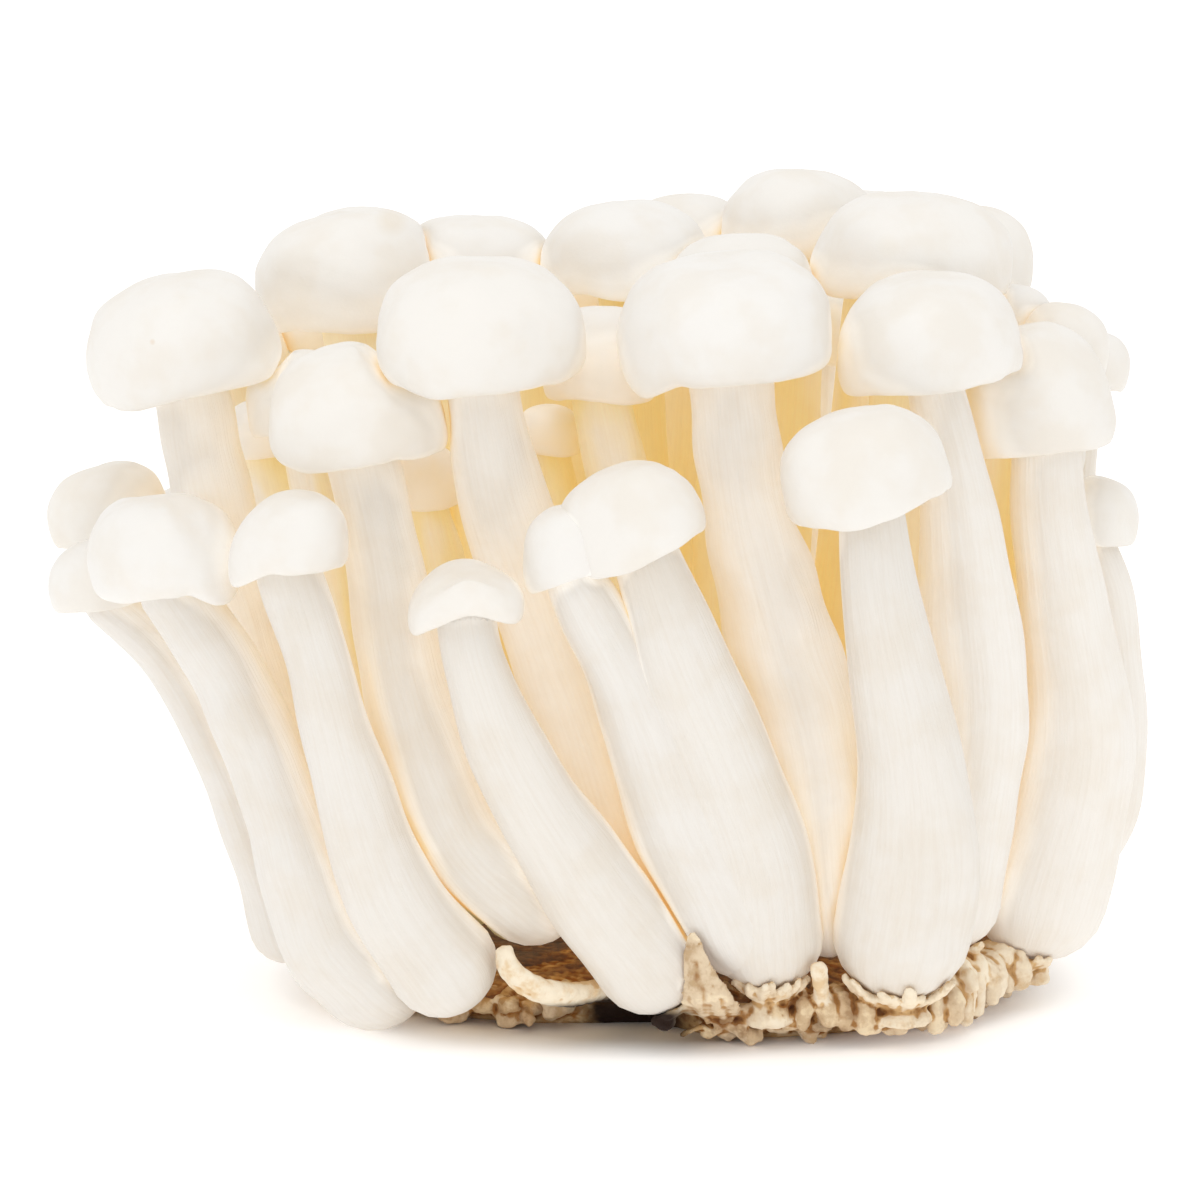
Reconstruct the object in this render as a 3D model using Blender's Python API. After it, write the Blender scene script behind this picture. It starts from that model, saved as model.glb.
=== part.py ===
"""White beech mushroom bunch, standing on its cut base.

Frame: metres, +Z up, the bunch's front faces -Y, +X is its longest side, the ground is z = 0 and the
origin lies under the middle of the bunch. All the tables below are in millimetres, measured from the
middle of the front view; the last step moves everything by SHIFT to the middle of the whole bunch.
Every mushroom (cap, gills and stem) grew in one piece and is one solid. The dried base with its
stubs, husk and flap is one solid too. Where two neighbours press on each other, both are flattened
along the surface midway between them, which leaves a hairline of clear space.
"""
import math
import random

import bpy
import numpy as np
from mathutils import Vector
from mathutils.bvhtree import BVHTree

# Driving dimensions
MM = 0.001
SHIFT = (0.35, -2.48, 0.0)
CLEAR = 0.45
SAMPLE_STEP = 0.9
PULL_STEPS = 12
LEAST_PULL = 0.22
EASE_ROUNDS = 40
EASE_FACTOR = 0.94

# Cap outline as shares of the cap's radius and height
RIM_LEVEL = 0.24
DOME_WIDTH_POWER = 0.78
DOME_HEIGHT_POWER = 0.86
RIM_BOTTOM_RADIUS = 0.93
GILL_OUTER_RADIUS = 0.82
GILL_CREST_LEVEL = 0.05
GILL_TROUGH_LEVEL = 0.17
GILL_INNER_LEVEL = 0.10
GILL_INNER_TROUGH_LEVEL = 0.17
GILL_INNER_RADIUS = 1.30
LARGE_CAP = 8.3

# Mesh fineness for large and small mushrooms
LARGE_CAP_SIDES = 16
SMALL_CAP_SIDES = 12
LARGE_DOME_ANGLES = (30.0, 58.0, 90.0)
SMALL_DOME_ANGLES = (34.0, 64.0, 90.0)
LARGE_GILLS = 12
SMALL_GILLS = 8
LARGE_STEM_SIDES = 10
SMALL_STEM_SIDES = 8
LARGE_STEM_RINGS = 7
SMALL_STEM_RINGS = 6

# Each mushroom: middle of the rim plane (x, y, z), cap radius, cap height,
# lean to the right and lean to the front in degrees, radius of the neck,
# then points down the stem as (x, y, z, radius), the last one inside the rounded foot.
FRONT_ROW = {
    "mushroom_01": ((-52.0, -14.0, 44.0), 5.5, 6.4, -14, 4, 2.7,
                    ((-45.2, -14.0, 37.2, 2.9), (-38.9, -14.0, 25.2, 3.2), (-33.3, -12.3, 8.2, 3.9))),
    "mushroom_02": ((-44.0, -26.0, 47.6), 8.0, 9.2, -8, 6, 3.6,
                    ((-37.7, -26.0, 37.2, 3.8), (-32.2, -26.0, 23.4, 4.5),
                     (-28.4, -25.3, 11.6, 5.5), (-23.8, -24.0, 6.4, 6.3))),
    "mushroom_03": ((-31.4, -34.0, 50.8), 6.1, 7.4, 4, 5, 3.3,
                    ((-28.4, -34.0, 40.5, 3.4), (-25.4, -33.5, 28.5, 4.0),
                     (-21.4, -32.0, 16.5, 4.9), (-16.4, -29.8, 8.7, 5.7))),
    "mushroom_04": ((-24.6, -24.4, 61.1), 8.9, 11.0, -4, 4, 3.8,
                    ((-22.3, -25.6, 51.0, 4.0), (-19.4, -26.4, 36.0, 5.0),
                     (-13.8, -27.2, 22.0, 5.6), (-7.2, -27.4, 15.6, 5.6))),
    "mushroom_05": ((-13.4, -37.6, 46.2), 5.8, 5.0, 0, 10, 3.1,
                    ((-12.3, -37.8, 41.0, 3.3), (-9.0, -37.2, 32.0, 4.1),
                     (-1.5, -34.2, 18.6, 5.2), (5.0, -31.6, 9.4, 5.6))),
    "mushroom_06": ((4.4, -37.0, 53.1), 6.9, 8.8, -22, 4, 3.2,
                    ((7.9, -36.0, 42.8, 4.4), (12.5, -34.0, 31.6, 4.8),
                     (16.4, -32.0, 20.4, 5.2), (17.4, -30.6, 11.6, 5.4))),
    "mushroom_07": ((27.0, -35.0, 57.4), 8.4, 9.8, -13, 5, 3.3,
                    ((28.3, -35.0, 47.0, 4.0), (31.0, -34.0, 34.0, 5.2),
                     (32.1, -32.0, 22.0, 6.6), (31.0, -30.0, 12.3, 7.3))),
}
SECOND_ROW = {
    "mushroom_08": ((-12.4, -24.6, 69.2), 10.7, 11.8, 0, 5, 3.8,
                    ((-10.2, -23.6, 57.0, 4.7), (-6.0, -22.6, 44.5, 5.1),
                     (-1.2, -23.6, 31.0, 5.1), (4.6, -24.8, 12.5, 4.6))),
    "mushroom_09": ((13.3, -23.0, 69.8), 11.4, 11.4, -6, 5, 4.4,
                    ((14.9, -23.0, 56.0, 4.5), (18.4, -23.0, 42.5, 5.6),
                     (21.8, -23.4, 30.0, 5.7), (23.8, -25.0, 13.4, 5.2))),
    "mushroom_10": ((34.0, -21.0, 68.4), 9.7, 10.6, -6, 4, 2.9,
                    ((36.5, -21.0, 58.0, 3.6), (38.0, -21.0, 45.0, 5.0),
                     (38.9, -21.0, 32.0, 5.5), (36.8, -19.6, 13.0, 5.3))),
    "mushroom_11": ((46.6, -13.0, 60.6), 7.7, 12.4, -14, 6, 3.6,
                    ((47.0, -13.0, 53.5, 4.1), (48.8, -13.0, 42.5, 4.8),
                     (50.4, -13.0, 27.5, 6.2), (46.8, -12.6, 11.8, 7.1))),
    "mushroom_12": ((-42.7, -14.0, 66.8), 10.1, 11.4, -12, 4, 3.8,
                    ((-40.6, -14.0, 55.0, 4.3), (-36.6, -12.6, 40.0, 4.4),
                     (-31.0, -10.5, 21.0, 4.5), (-25.0, -8.0, 9.6, 4.5))),
    "mushroom_13": ((-31.0, -14.0, 62.0), 5.4, 8.3, -8, 2, 2.3,
                    ((-28.8, -13.6, 50.0, 2.7), (-25.0, -13.0, 32.0, 3.0), (-17.4, -12.0, 10.4, 3.4))),
    "mushroom_14": ((0.2, -9.6, 65.0), 6.2, 9.4, 0, 2, 3.2,
                    ((1.8, -10.4, 57.0, 3.4), (5.4, -13.0, 36.0, 3.6), (15.4, -17.6, 10.0, 4.2))),
    "mushroom_15": ((-18.3, -11.0, 53.6), 4.2, 6.4, -4, 2, 2.4,
                    ((-16.6, -10.8, 44.0, 3.0), (-13.6, -10.2, 28.0, 3.2), (-9.0, -9.6, 9.6, 3.6))),
    "mushroom_16": ((52.4, -5.0, 49.2), 4.6, 6.4, 10, 4, 2.1,
                    ((54.4, -5.0, 42.0, 2.7), (55.5, -5.0, 31.0, 2.9),
                     (54.4, -4.6, 19.5, 3.6), (48.8, -3.2, 9.8, 4.3))),
    "mushroom_17": ((-52.2, -1.0, 48.6), 6.7, 7.8, -12, 0, 2.8,
                    ((-46.4, -1.0, 39.0, 3.1), (-39.0, 0.0, 22.5, 3.6), (-31.0, 1.0, 9.0, 4.1))),
}
MIDDLE_ROWS = {
    "mushroom_18": ((-26.2, 2.0, 71.4), 10.2, 12.0, -8, 0, 3.8,
                    ((-22.8, 1.8, 57.0, 4.4), (-19.4, 1.0, 36.0, 4.6), (-14.6, -0.6, 10.0, 4.7))),
    "mushroom_19": ((-14.0, 6.8, 73.0), 9.2, 9.4, 2, -2, 3.3,
                    ((-13.4, 5.6, 58.0, 4.1), (-10.6, 3.8, 36.0, 4.4), (-5.6, 1.0, 9.8, 4.6))),
    "mushroom_20": ((2.9, 1.8, 74.6), 9.3, 9.8, -3, -2, 3.3,
                    ((3.6, 1.0, 60.0, 3.5), (3.8, -2.0, 36.0, 3.8), (4.2, -6.6, 9.6, 4.2))),
    "mushroom_21": ((9.6, 17.0, 76.0), 7.4, 7.6, 2, -6, 2.8,
                    ((9.0, 15.0, 61.0, 3.1), (7.0, 10.6, 36.0, 3.4), (4.6, 4.0, 9.6, 4.0))),
    "mushroom_22": ((21.6, 10.6, 77.0), 8.6, 10.0, 3, -4, 3.3,
                    ((20.6, 9.6, 60.0, 3.6), (18.0, 6.6, 36.0, 4.0), (14.2, 2.4, 9.8, 4.3))),
    "mushroom_23": ((30.4, 23.6, 76.0), 6.8, 7.4, 6, -10, 2.7,
                    ((29.0, 21.6, 61.0, 3.1), (27.0, 17.4, 36.0, 3.6), (24.6, 12.8, 9.8, 4.3))),
    "mushroom_24": ((33.0, -4.0, 75.0), 10.6, 10.8, 3, 0, 3.8,
                    ((32.4, -4.2, 60.0, 4.0), (30.4, -5.0, 36.0, 4.3), (26.0, -7.2, 10.0, 4.6))),
    "mushroom_25": ((39.4, 11.0, 74.4), 7.2, 8.8, 8, -6, 3.0,
                    ((38.6, 9.6, 58.0, 3.3), (33.4, 7.0, 34.0, 3.8), (23.0, 3.6, 9.8, 4.3))),
    "mushroom_26": ((43.8, 2.4, 69.2), 4.8, 6.2, 10, -2, 2.4,
                    ((43.0, 2.0, 56.0, 3.2), (40.4, 1.2, 34.0, 3.5), (32.0, 0.0, 9.6, 3.9))),
    "mushroom_27": ((14.8, -6.0, 71.8), 8.6, 9.8, -2, 2, 3.4,
                    ((14.4, -6.0, 58.0, 4.0), (13.9, -6.8, 36.0, 4.2), (13.6, -8.0, 9.8, 4.3))),
    "mushroom_28": ((49.0, -3.0, 66.8), 5.0, 7.2, 8, 0, 2.4,
                    ((49.2, -3.2, 54.0, 2.8), (46.0, -3.8, 33.0, 3.3), (37.2, -6.0, 9.8, 4.1))),
    "mushroom_29": ((52.4, 6.6, 64.0), 4.6, 6.2, 12, -4, 2.2,
                    ((51.0, 6.4, 51.0, 2.7), (48.6, 5.8, 31.0, 3.1), (40.4, 4.0, 9.4, 3.9))),
    "mushroom_30": ((-5.8, 20.6, 69.4), 7.9, 8.4, -2, -6, 3.6,
                    ((-4.8, 19.0, 55.0, 4.1), (-4.6, 15.6, 34.0, 4.2), (-3.6, 10.6, 9.8, 4.4))),
    "mushroom_31": ((-29.6, 19.0, 66.0), 7.0, 8.4, -6, -4, 2.8,
                    ((-27.4, 17.6, 53.0, 3.2), (-22.4, 14.0, 32.0, 3.6), (-14.6, 8.0, 9.6, 4.0))),
    "mushroom_32": ((18.4, 26.6, 70.0), 6.6, 7.6, 2, -8, 2.7,
                    ((17.8, 24.0, 57.0, 3.0), (16.6, 18.4, 34.0, 3.5), (14.6, 11.4, 9.6, 4.2))),
    "mushroom_43": ((-36.0, 3.0, 57.0), 4.4, 6.0, -6, 0, 2.6,
                    ((-34.6, 2.6, 49.0, 3.2), (-31.4, 1.8, 30.0, 3.4), (-23.6, 0.4, 9.6, 3.8))),
    "mushroom_44": ((-5.4, -3.0, 58.0), 3.8, 5.2, -4, 0, 2.3,
                    ((-4.2, -3.4, 49.0, 2.7), (-1.6, -4.6, 31.0, 2.9), (3.0, -8.4, 9.6, 3.4))),
}
BACK_ROW = {
    "mushroom_33": ((-42.0, 13.6, 62.6), 8.6, 9.6, -10, -6, 3.3,
                    ((-37.6, 12.6, 47.0, 3.8), (-32.0, 10.6, 27.0, 4.3), (-24.6, 7.6, 10.0, 5.0))),
    "mushroom_34": ((-29.0, 32.0, 60.0), 8.6, 9.8, -8, -10, 3.3,
                    ((-27.4, 28.4, 47.0, 3.9), (-21.4, 22.6, 27.0, 4.5), (-14.8, 16.8, 10.0, 5.2))),
    "mushroom_35": ((-45.0, 27.0, 43.0), 6.2, 7.4, -12, -12, 2.7,
                    ((-39.0, 25.0, 33.0, 3.2), (-31.0, 21.6, 19.6, 3.9), (-23.4, 17.6, 9.0, 4.7))),
    "mushroom_36": ((-13.0, 36.4, 61.0), 8.7, 9.4, -4, -13, 3.3,
                    ((-11.0, 33.6, 45.0, 4.0), (-8.0, 28.0, 26.0, 4.8), (-5.0, 20.6, 10.0, 5.4))),
    "mushroom_37": ((5.6, 34.0, 68.6), 9.2, 10.2, 0, -10, 3.5,
                    ((5.6, 31.6, 54.0, 4.1), (5.4, 27.0, 32.0, 4.7), (5.0, 20.2, 10.0, 5.3))),
    "mushroom_38": ((2.0, 42.0, 42.0), 6.4, 7.2, -2, -14, 2.8,
                    ((1.8, 39.6, 32.0, 3.4), (1.0, 34.6, 18.0, 4.2), (0.0, 29.6, 8.8, 4.9))),
    "mushroom_39": ((24.4, 37.0, 62.0), 8.8, 9.8, 4, -12, 3.4,
                    ((22.8, 34.4, 47.0, 4.1), (19.4, 28.8, 27.0, 4.8), (14.8, 21.6, 10.0, 5.4))),
    "mushroom_40": ((42.0, 27.0, 59.0), 8.2, 9.6, 10, -10, 3.2,
                    ((39.0, 25.6, 45.0, 3.9), (33.0, 23.0, 26.0, 4.6), (25.4, 20.4, 10.0, 5.2))),
    "mushroom_41": ((50.0, 18.0, 45.0), 6.6, 7.8, 12, -6, 2.9,
                    ((47.4, 17.0, 36.0, 3.4), (43.6, 15.0, 23.0, 4.2), (35.2, 12.2, 9.6, 4.9))),
    "mushroom_42": ((32.0, 38.6, 43.0), 6.2, 7.2, 8, -14, 2.7,
                    ((29.4, 37.0, 33.0, 3.3), (25.0, 33.6, 19.0, 4.1), (19.6, 29.6, 9.0, 4.8))),
}
# The smaller half of the front's double mushroom, grown together with mushroom_06
TWIN = {
    "twin": ((-3.0, -37.0, 50.7), 4.4, 6.6, -10, 4, 2.8,
             ((-0.9, -36.6, 46.8, 3.3), (1.8, -35.6, 41.6, 3.8), (4.2, -34.4, 35.6, 4.3),
              (7.4, -33.0, 26.3, 5.0), (13.0, -31.2, 13.9, 5.5))),
}
TWIN_OF = "mushroom_06"
MUSHROOMS = {**FRONT_ROW, **TWIN, **SECOND_ROW, **MIDDLE_ROWS, **BACK_ROW}

# Caps whose rim hangs or arches in its own way: (number of waves, share of radius, angle in degrees)
RIM_WAVES = {
    "mushroom_02": ((1, 0.10, 0), (3, 0.07, 205), (5, 0.03, 250)),
    "mushroom_03": ((1, 0.22, 175), (2, 0.08, 180)),
    "mushroom_05": ((2, 0.14, 8), (1, 0.08, 180)),
    "mushroom_06": ((1, 0.04, 230), (3, 0.05, 255)),
    "twin": ((1, 0.20, 200), (2, 0.10, 180)),
    "mushroom_11": ((1, 0.10, 10), (3, 0.06, 200)),
}
EDGE_WAVES = {
    "mushroom_06": ((2, 0.08, 150), (3, 0.04, 60)),
    "twin": ((2, 0.06, 170),),
}
# Lobes of a rim that hang (or, below zero, rise): (angle in degrees, width in degrees, share of radius)
RIM_LOBES = {
    "mushroom_02": ((316, 15, 0.10), (291, 9, -0.11)),
    "mushroom_03": ((212, 20, 0.15), (256, 13, -0.09)),
    "mushroom_04": ((238, 24, 0.05), (330, 22, -0.07), (300, 6, -0.03)),
    "mushroom_05": ((200, 15, 0.08), (272, 40, -0.52)),
    "mushroom_08": ((250, 14, 0.05), (288, 15, 0.05), (217, 9, -0.05), (316, 8, -0.05)),
    "mushroom_09": ((214, 15, 0.11), (240, 8, -0.05)),
    "mushroom_12": ((230, 22, 0.05),),
}
# Caps that keep their round form where they press on softer ones, in mm
FIRM = {"mushroom_02": 1.0, "mushroom_03": 1.2, "mushroom_04": 0.6, "mushroom_05": 1.5, "mushroom_06": 1.5,
        "twin": 1.5, "mushroom_07": 1.5, "mushroom_08": 2.2, "mushroom_09": 1.2, "mushroom_10": 1.4,
        "mushroom_11": 0.4, "mushroom_12": 1.2, "mushroom_17": 0.5, "mushroom_18": 0.4, "mushroom_20": 0.4,
        "mushroom_24": 0.8}

# How square-shouldered a dome is, where it differs: smaller is fuller
FULLNESS = {"mushroom_02": 0.72, "mushroom_03": 0.66, "mushroom_05": 0.60, "mushroom_09": 0.72,
            "mushroom_12": 0.72}

# Width of the soft seam where the double mushroom's halves run into each other, in mm
SEAM = 5.0
SEAM_INSIDE = 2.5
SEAM_OPEN_LEVEL = 47.0
SEAM_WHOLE_LEVEL = 33.0
SEAM_LEAST = 0.2
SEAM_LIFT = 0.7
SEAM_STEP = 0.05

# Base
BASE_MIDDLE = (8.0, -0.5)
BASE_REACH = (35.6, 28.6)
BASE_CORNER_POWER = 2.4
BASE_DENTS = ((228.0, 16.0, 0.16), (259.0, 13.0, 0.30), (150.0, 14.0, 0.08), (60.0, 12.0, 0.06))
BASE_ANGLES = 26
BASE_SHARES = (0.34, 0.66, 0.88, 1.0)
BASE_TOP = 5.0
BASE_EDGE_TOP = 2.7
BASE_LEAST_HEIGHT = 2.2
BASE_FOOT_MARGIN = 0.9
BASE_INSET_UNDER = 1.2
STUB_COUNT = 36
STUB_SEED = 20
STUB_TRIES = 900
STUB_FRONT_SHARE = 0.62
STUB_FRONT = (250.0, 380.0)
HOLLOW = (244.0, 274.0)
STUB_SIDES = 5
STUB_SAMPLES = 3
FRONT_SAMPLES = 6
DRAW_ROUNDS = 12
DRAW_FACTOR = 0.88

# Husk, flap and knob at the front, as (x, y, z, half width) with their thickness share
HUSK = (((-9.8, -33.4, 11.0, 0.75), (-9.2, -33.8, 9.0, 0.95), (-6.6, -33.4, 6.9, 1.15),
         (-3.2, -31.4, 5.7, 1.25), (0.4, -27.6, 5.2, 1.15), (4.6, -20.0, 2.9, 1.0)), 1.5)
FLAP = (((11.8, -22.0, 2.4, 2.0), (11.8, -30.6, 3.8, 2.7), (10.9, -35.2, 6.2, 2.7),
         (9.9, -36.4, 9.6, 1.7), (9.4, -36.4, 13.2, 0.7)), 0.28)
KNOB = (((22.6, -24.0, 3.2, 1.3), (22.8, -30.4, 5.0, 1.0), (22.6, -33.6, 7.2, 0.8),
         (22.3, -34.7, 9.3, 1.0)), 1.0)


# Geometry helpers

def smooth_path(points, count):
    """Points of a soft curve through the given points, each with its radius as fourth value."""
    pts = np.array(points, dtype=float)
    pts = np.vstack((2 * pts[0] - pts[1], pts, 2 * pts[-1] - pts[-2]))
    spans = len(pts) - 3
    out = []
    for value in np.linspace(0.0, spans, count):
        k = min(int(value), spans - 1)
        t = value - k
        a, b, c, d = pts[k], pts[k + 1], pts[k + 2], pts[k + 3]
        out.append(0.5 * (2 * b + (c - a) * t + (2 * a - 5 * b + 4 * c - d) * t ** 2
                          + (3 * b - a - 3 * c + d) * t ** 3))
    return np.array(out)


def even_path(points, count):
    """The same curve with points spread evenly along its length."""
    dense = smooth_path(points, 240)
    steps = np.linalg.norm(np.diff(dense[:, :3], axis=0), axis=1)
    travel = np.concatenate(([0.0], np.cumsum(steps)))
    wanted = np.linspace(0.0, travel[-1], count)
    return np.stack([np.interp(wanted, travel, dense[:, k]) for k in range(4)], axis=1)


def cap_frame(lean_right, lean_front):
    """Two level directions and the axis of a cap that leans by the given degrees."""
    axis = Vector((math.tan(math.radians(lean_right)), -math.tan(math.radians(lean_front)), 1.0))
    axis.normalize()
    side = (Vector((1.0, 0.0, 0.0)) - axis * axis.x).normalized()
    return side, axis.cross(side), axis


def dome_outline(radius, height, angles, fullness):
    """Radius and level of the dome from the top down to its widest ring."""
    out = []
    for angle in angles:
        turn = math.radians(angle)
        level = height * (RIM_LEVEL + (1 - RIM_LEVEL) * max(math.cos(turn), 0.0) ** DOME_HEIGHT_POWER)
        out.append((radius * math.sin(turn) ** fullness, level))
    return out


class Mushroom:
    """One mushroom: its measures, and how far any point is from its surface."""

    def __init__(self, name, row):
        seat, self.radius, self.height, lean_right, lean_front, self.neck, below = row
        self.name = name
        self.seat = np.array(seat)
        side, front, axis = cap_frame(lean_right, lean_front)
        self.frame = np.array([side, front, axis])
        inside = self.seat + 0.35 * self.height * self.frame[2]
        line = ((*inside, self.neck), (*seat, self.neck)) + tuple(below)
        self.line = line
        whole = even_path(line, 60)
        length = np.linalg.norm(np.diff(whole[:, :3], axis=0), axis=1).sum()
        self.beads = even_path(line, int(length / SAMPLE_STEP))
        rng = random.Random(name)
        own_rim = tuple((k, rng.uniform(0.01, 0.05), rng.uniform(0, 360)) for k in (2, 3))
        own_edge = tuple((k, rng.uniform(0.01, 0.03), rng.uniform(0, 360)) for k in (2, 3))
        self.rim_waves = RIM_WAVES.get(name, own_rim)
        self.edge_waves = EDGE_WAVES.get(name, own_edge)
        self.lobes = RIM_LOBES.get(name, ())
        self.firm = FIRM.get(name, 0.0)
        self.fullness = FULLNESS.get(name, DOME_WIDTH_POWER)
        self.outline = self.cap_outline()
        points = np.vstack((self.beads[:, :3], self.seat + self.frame[2] * self.height * 0.5))
        self.low = points.min(axis=0) - self.radius - 1.5
        self.high = points.max(axis=0) + self.radius + 1.5

    def cap_outline(self):
        """Outline of the cap in (radius, level), from the axis at the top round to the axis below."""
        r, h = self.radius, self.height
        rows = [(0.0, h)] + dome_outline(r, h, range(8, 91, 8), self.fullness) + [(r, RIM_LEVEL * h)]
        rows += [(0.985 * r, 0.1 * h), (RIM_BOTTOM_RADIUS * r, 0.0), (0.86 * r, 0.01 * h)]
        rows += [(GILL_OUTER_RADIUS * r, GILL_CREST_LEVEL * h), (0.0, GILL_INNER_LEVEL * h)]
        return np.array(rows)

    def rim_drop(self, angle):
        return -self.radius * sum(s * np.cos(k * (angle - math.radians(a))) for k, s, a in self.rim_waves)

    def lobe_drop(self, angle):
        """How far the local lobes move the rim at these angles."""
        total = 0.0 * angle
        for middle, width, share in self.lobes:
            off = (np.degrees(angle) - middle + 180.0) % 360.0 - 180.0
            total = total - share * self.radius * np.exp(-(off / width) ** 2)
        return total

    def edge_scale(self, angle):
        return 1.0 + sum(s * np.cos(k * (angle - math.radians(a))) for k, s, a in self.edge_waves)

    def place(self, radius, level, angle):
        """World point of a cap point given in the cap's own radius, level and angle."""
        share = (radius / self.radius) ** 2
        level = level + self.rim_drop(angle) * share + self.lobe_drop(angle) * share ** 3
        radius = radius * self.edge_scale(angle)
        local = np.stack([radius * np.cos(angle), radius * np.sin(angle), level], axis=-1)
        return self.seat + local @ self.frame

    def distance(self, points):
        """Signed distance of each point from the mushroom, negative inside, with its cap's firmness."""
        gaps = points[:, None, :] - self.beads[None, :, :3]
        stem = (np.sqrt((gaps ** 2).sum(axis=2)) - self.beads[None, :, 3]).min(axis=1)
        local = (points - self.seat) @ self.frame.T
        angle = np.arctan2(local[:, 1], local[:, 0])
        radius = np.hypot(local[:, 0], local[:, 1]) / self.edge_scale(angle)
        share = np.minimum(radius / self.radius, 1.2) ** 2
        drop = self.rim_drop(angle) * share + self.lobe_drop(angle) * share ** 3
        flat = np.stack([radius, local[:, 2] - drop], axis=1)
        return np.minimum(stem, outline_distance(flat, self.outline) - self.firm)


def outline_distance(points, outline):
    """Signed distance of flat points from a closed outline."""
    start = outline
    end = np.roll(outline, -1, axis=0)
    edge = end - start
    away = points[:, None, :] - start[None]
    share = (away * edge).sum(axis=2) / np.maximum((edge ** 2).sum(axis=1), 1e-12)
    near = away - edge[None] * np.clip(share, 0.0, 1.0)[..., None]
    best = np.sqrt((near ** 2).sum(axis=2).min(axis=1))
    crosses = (start[None, :, 1] > points[:, None, 1]) != (end[None, :, 1] > points[:, None, 1])
    rise = np.where(np.abs(edge[:, 1]) < 1e-9, 1e-9, edge[:, 1])
    at = start[:, 0] + (points[:, None, 1] - start[:, 1]) * edge[:, 0] / rise
    inside = (crosses & (points[:, None, 0] < at)).sum(axis=1) % 2 == 1
    return np.where(inside, -best, best)


def grown_together(first, second):
    return {first, second} == {TWIN_OF, *TWIN}


def partners_of(one, everyone):
    """The mushrooms that this one has grown together with."""
    return [other for other in everyone if other is not one and grown_together(one.name, other.name)]


def neighbours_of(one, everyone):
    """The mushrooms whose boxes reach the box of this one."""
    return [other for other in everyone
            if other is not one and not grown_together(one.name, other.name)
            and (other.low < one.high).all() and (one.low < other.high).all()]


def slope(one, points):
    """Direction in which the distance from a mushroom grows, at each point."""
    steps = SEAM_STEP * np.eye(3)
    grown = [one.distance(points + step) - one.distance(points - step) for step in steps]
    grown = np.stack(grown, axis=1)
    return grown / np.maximum(np.linalg.norm(grown, axis=1), 1e-9)[:, None]


def melt_seam(one, partner, points):
    """Swells the points near a mushroom's partner, so that the two run softly into each other."""
    away = partner.distance(points) + partner.firm
    share = np.clip(1.0 - np.abs(away) / SEAM, 0.0, 1.0) * np.clip(1.0 + away / SEAM_INSIDE, 0.0, 1.0)
    near = np.flatnonzero(share > 0.0)
    lean = 0.5 * share[near, None]
    push = (1.0 - lean) * slope(one, points[near]) + lean * slope(partner, points[near])
    depth = (SEAM_OPEN_LEVEL - points[near, 2]) / (SEAM_OPEN_LEVEL - SEAM_WHOLE_LEVEL)
    whole = np.clip(depth, SEAM_LEAST, 1.0)
    push /= np.maximum((push ** 2).sum(axis=1), 1.0 - SEAM_LIFT * whole)[:, None]
    out = points.copy()
    out[near] += push * (0.25 * SEAM * whole * share[near] ** 2)[:, None]
    return out


def press_in(one, neighbours, ground, points, anchors):
    """Pulls points towards their anchors until each is nearer to its own mushroom than to others."""
    def fits(trial):
        other = ground.height_above(trial)
        for neighbour in neighbours:
            other = np.minimum(other, neighbour.distance(trial))
        return one.distance(trial) <= other - CLEAR

    share_low = np.full(len(points), LEAST_PULL)
    share_high = np.ones(len(points))
    good = fits(points)
    for _ in range(PULL_STEPS):
        middle = 0.5 * (share_low + share_high)
        trial = anchors + (points - anchors) * middle[:, None]
        fine = fits(trial)
        share_low = np.where(fine, middle, share_low)
        share_high = np.where(fine, share_high, middle)
    share = np.where(good, 1.0, share_low)
    return anchors + (points - anchors) * share[:, None]


# One mushroom's surface as a stack of rings

def mushroom_rings(one):
    """Rings of points from the top of the cap to the foot, with the anchor of each point."""
    large = one.radius >= LARGE_CAP
    cap_sides = LARGE_CAP_SIDES if large else SMALL_CAP_SIDES
    gills = LARGE_GILLS if large else SMALL_GILLS
    stem_sides = LARGE_STEM_SIDES if large else SMALL_STEM_SIDES
    stem_rings = LARGE_STEM_RINGS if large else SMALL_STEM_RINGS
    dome_angles = LARGE_DOME_ANGLES if large else SMALL_DOME_ANGLES
    r, h = one.radius, one.height
    core = one.seat + one.frame[2] * h * 0.5
    turn = np.arange(cap_sides) * 2 * math.pi / cap_sides
    rings = [one.place(np.zeros(1), np.full(1, h), np.zeros(1))]
    for radius, level in dome_outline(r, h, dome_angles, one.fullness):
        rings.append(one.place(np.full(cap_sides, radius), np.full(cap_sides, level), turn))
    rings.append(one.place(np.full(cap_sides, RIM_BOTTOM_RADIUS * r), np.zeros(cap_sides), turn))
    gill_turn = np.arange(2 * gills) * math.pi / gills
    crest = np.arange(2 * gills) % 2 == 0
    outer = np.where(crest, GILL_CREST_LEVEL, GILL_TROUGH_LEVEL) * h
    inner = np.where(crest, GILL_INNER_LEVEL, GILL_INNER_TROUGH_LEVEL) * h
    rings.append(one.place(np.full(2 * gills, GILL_OUTER_RADIUS * r), outer, gill_turn))
    rings.append(one.place(np.full(2 * gills, GILL_INNER_RADIUS * one.neck), inner, gill_turn))
    anchors = [np.repeat(core[None], len(ring), axis=0) for ring in rings]
    stem, stem_anchors = stem_rings_of(one, stem_sides, stem_rings)
    return rings + stem, anchors + stem_anchors


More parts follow.
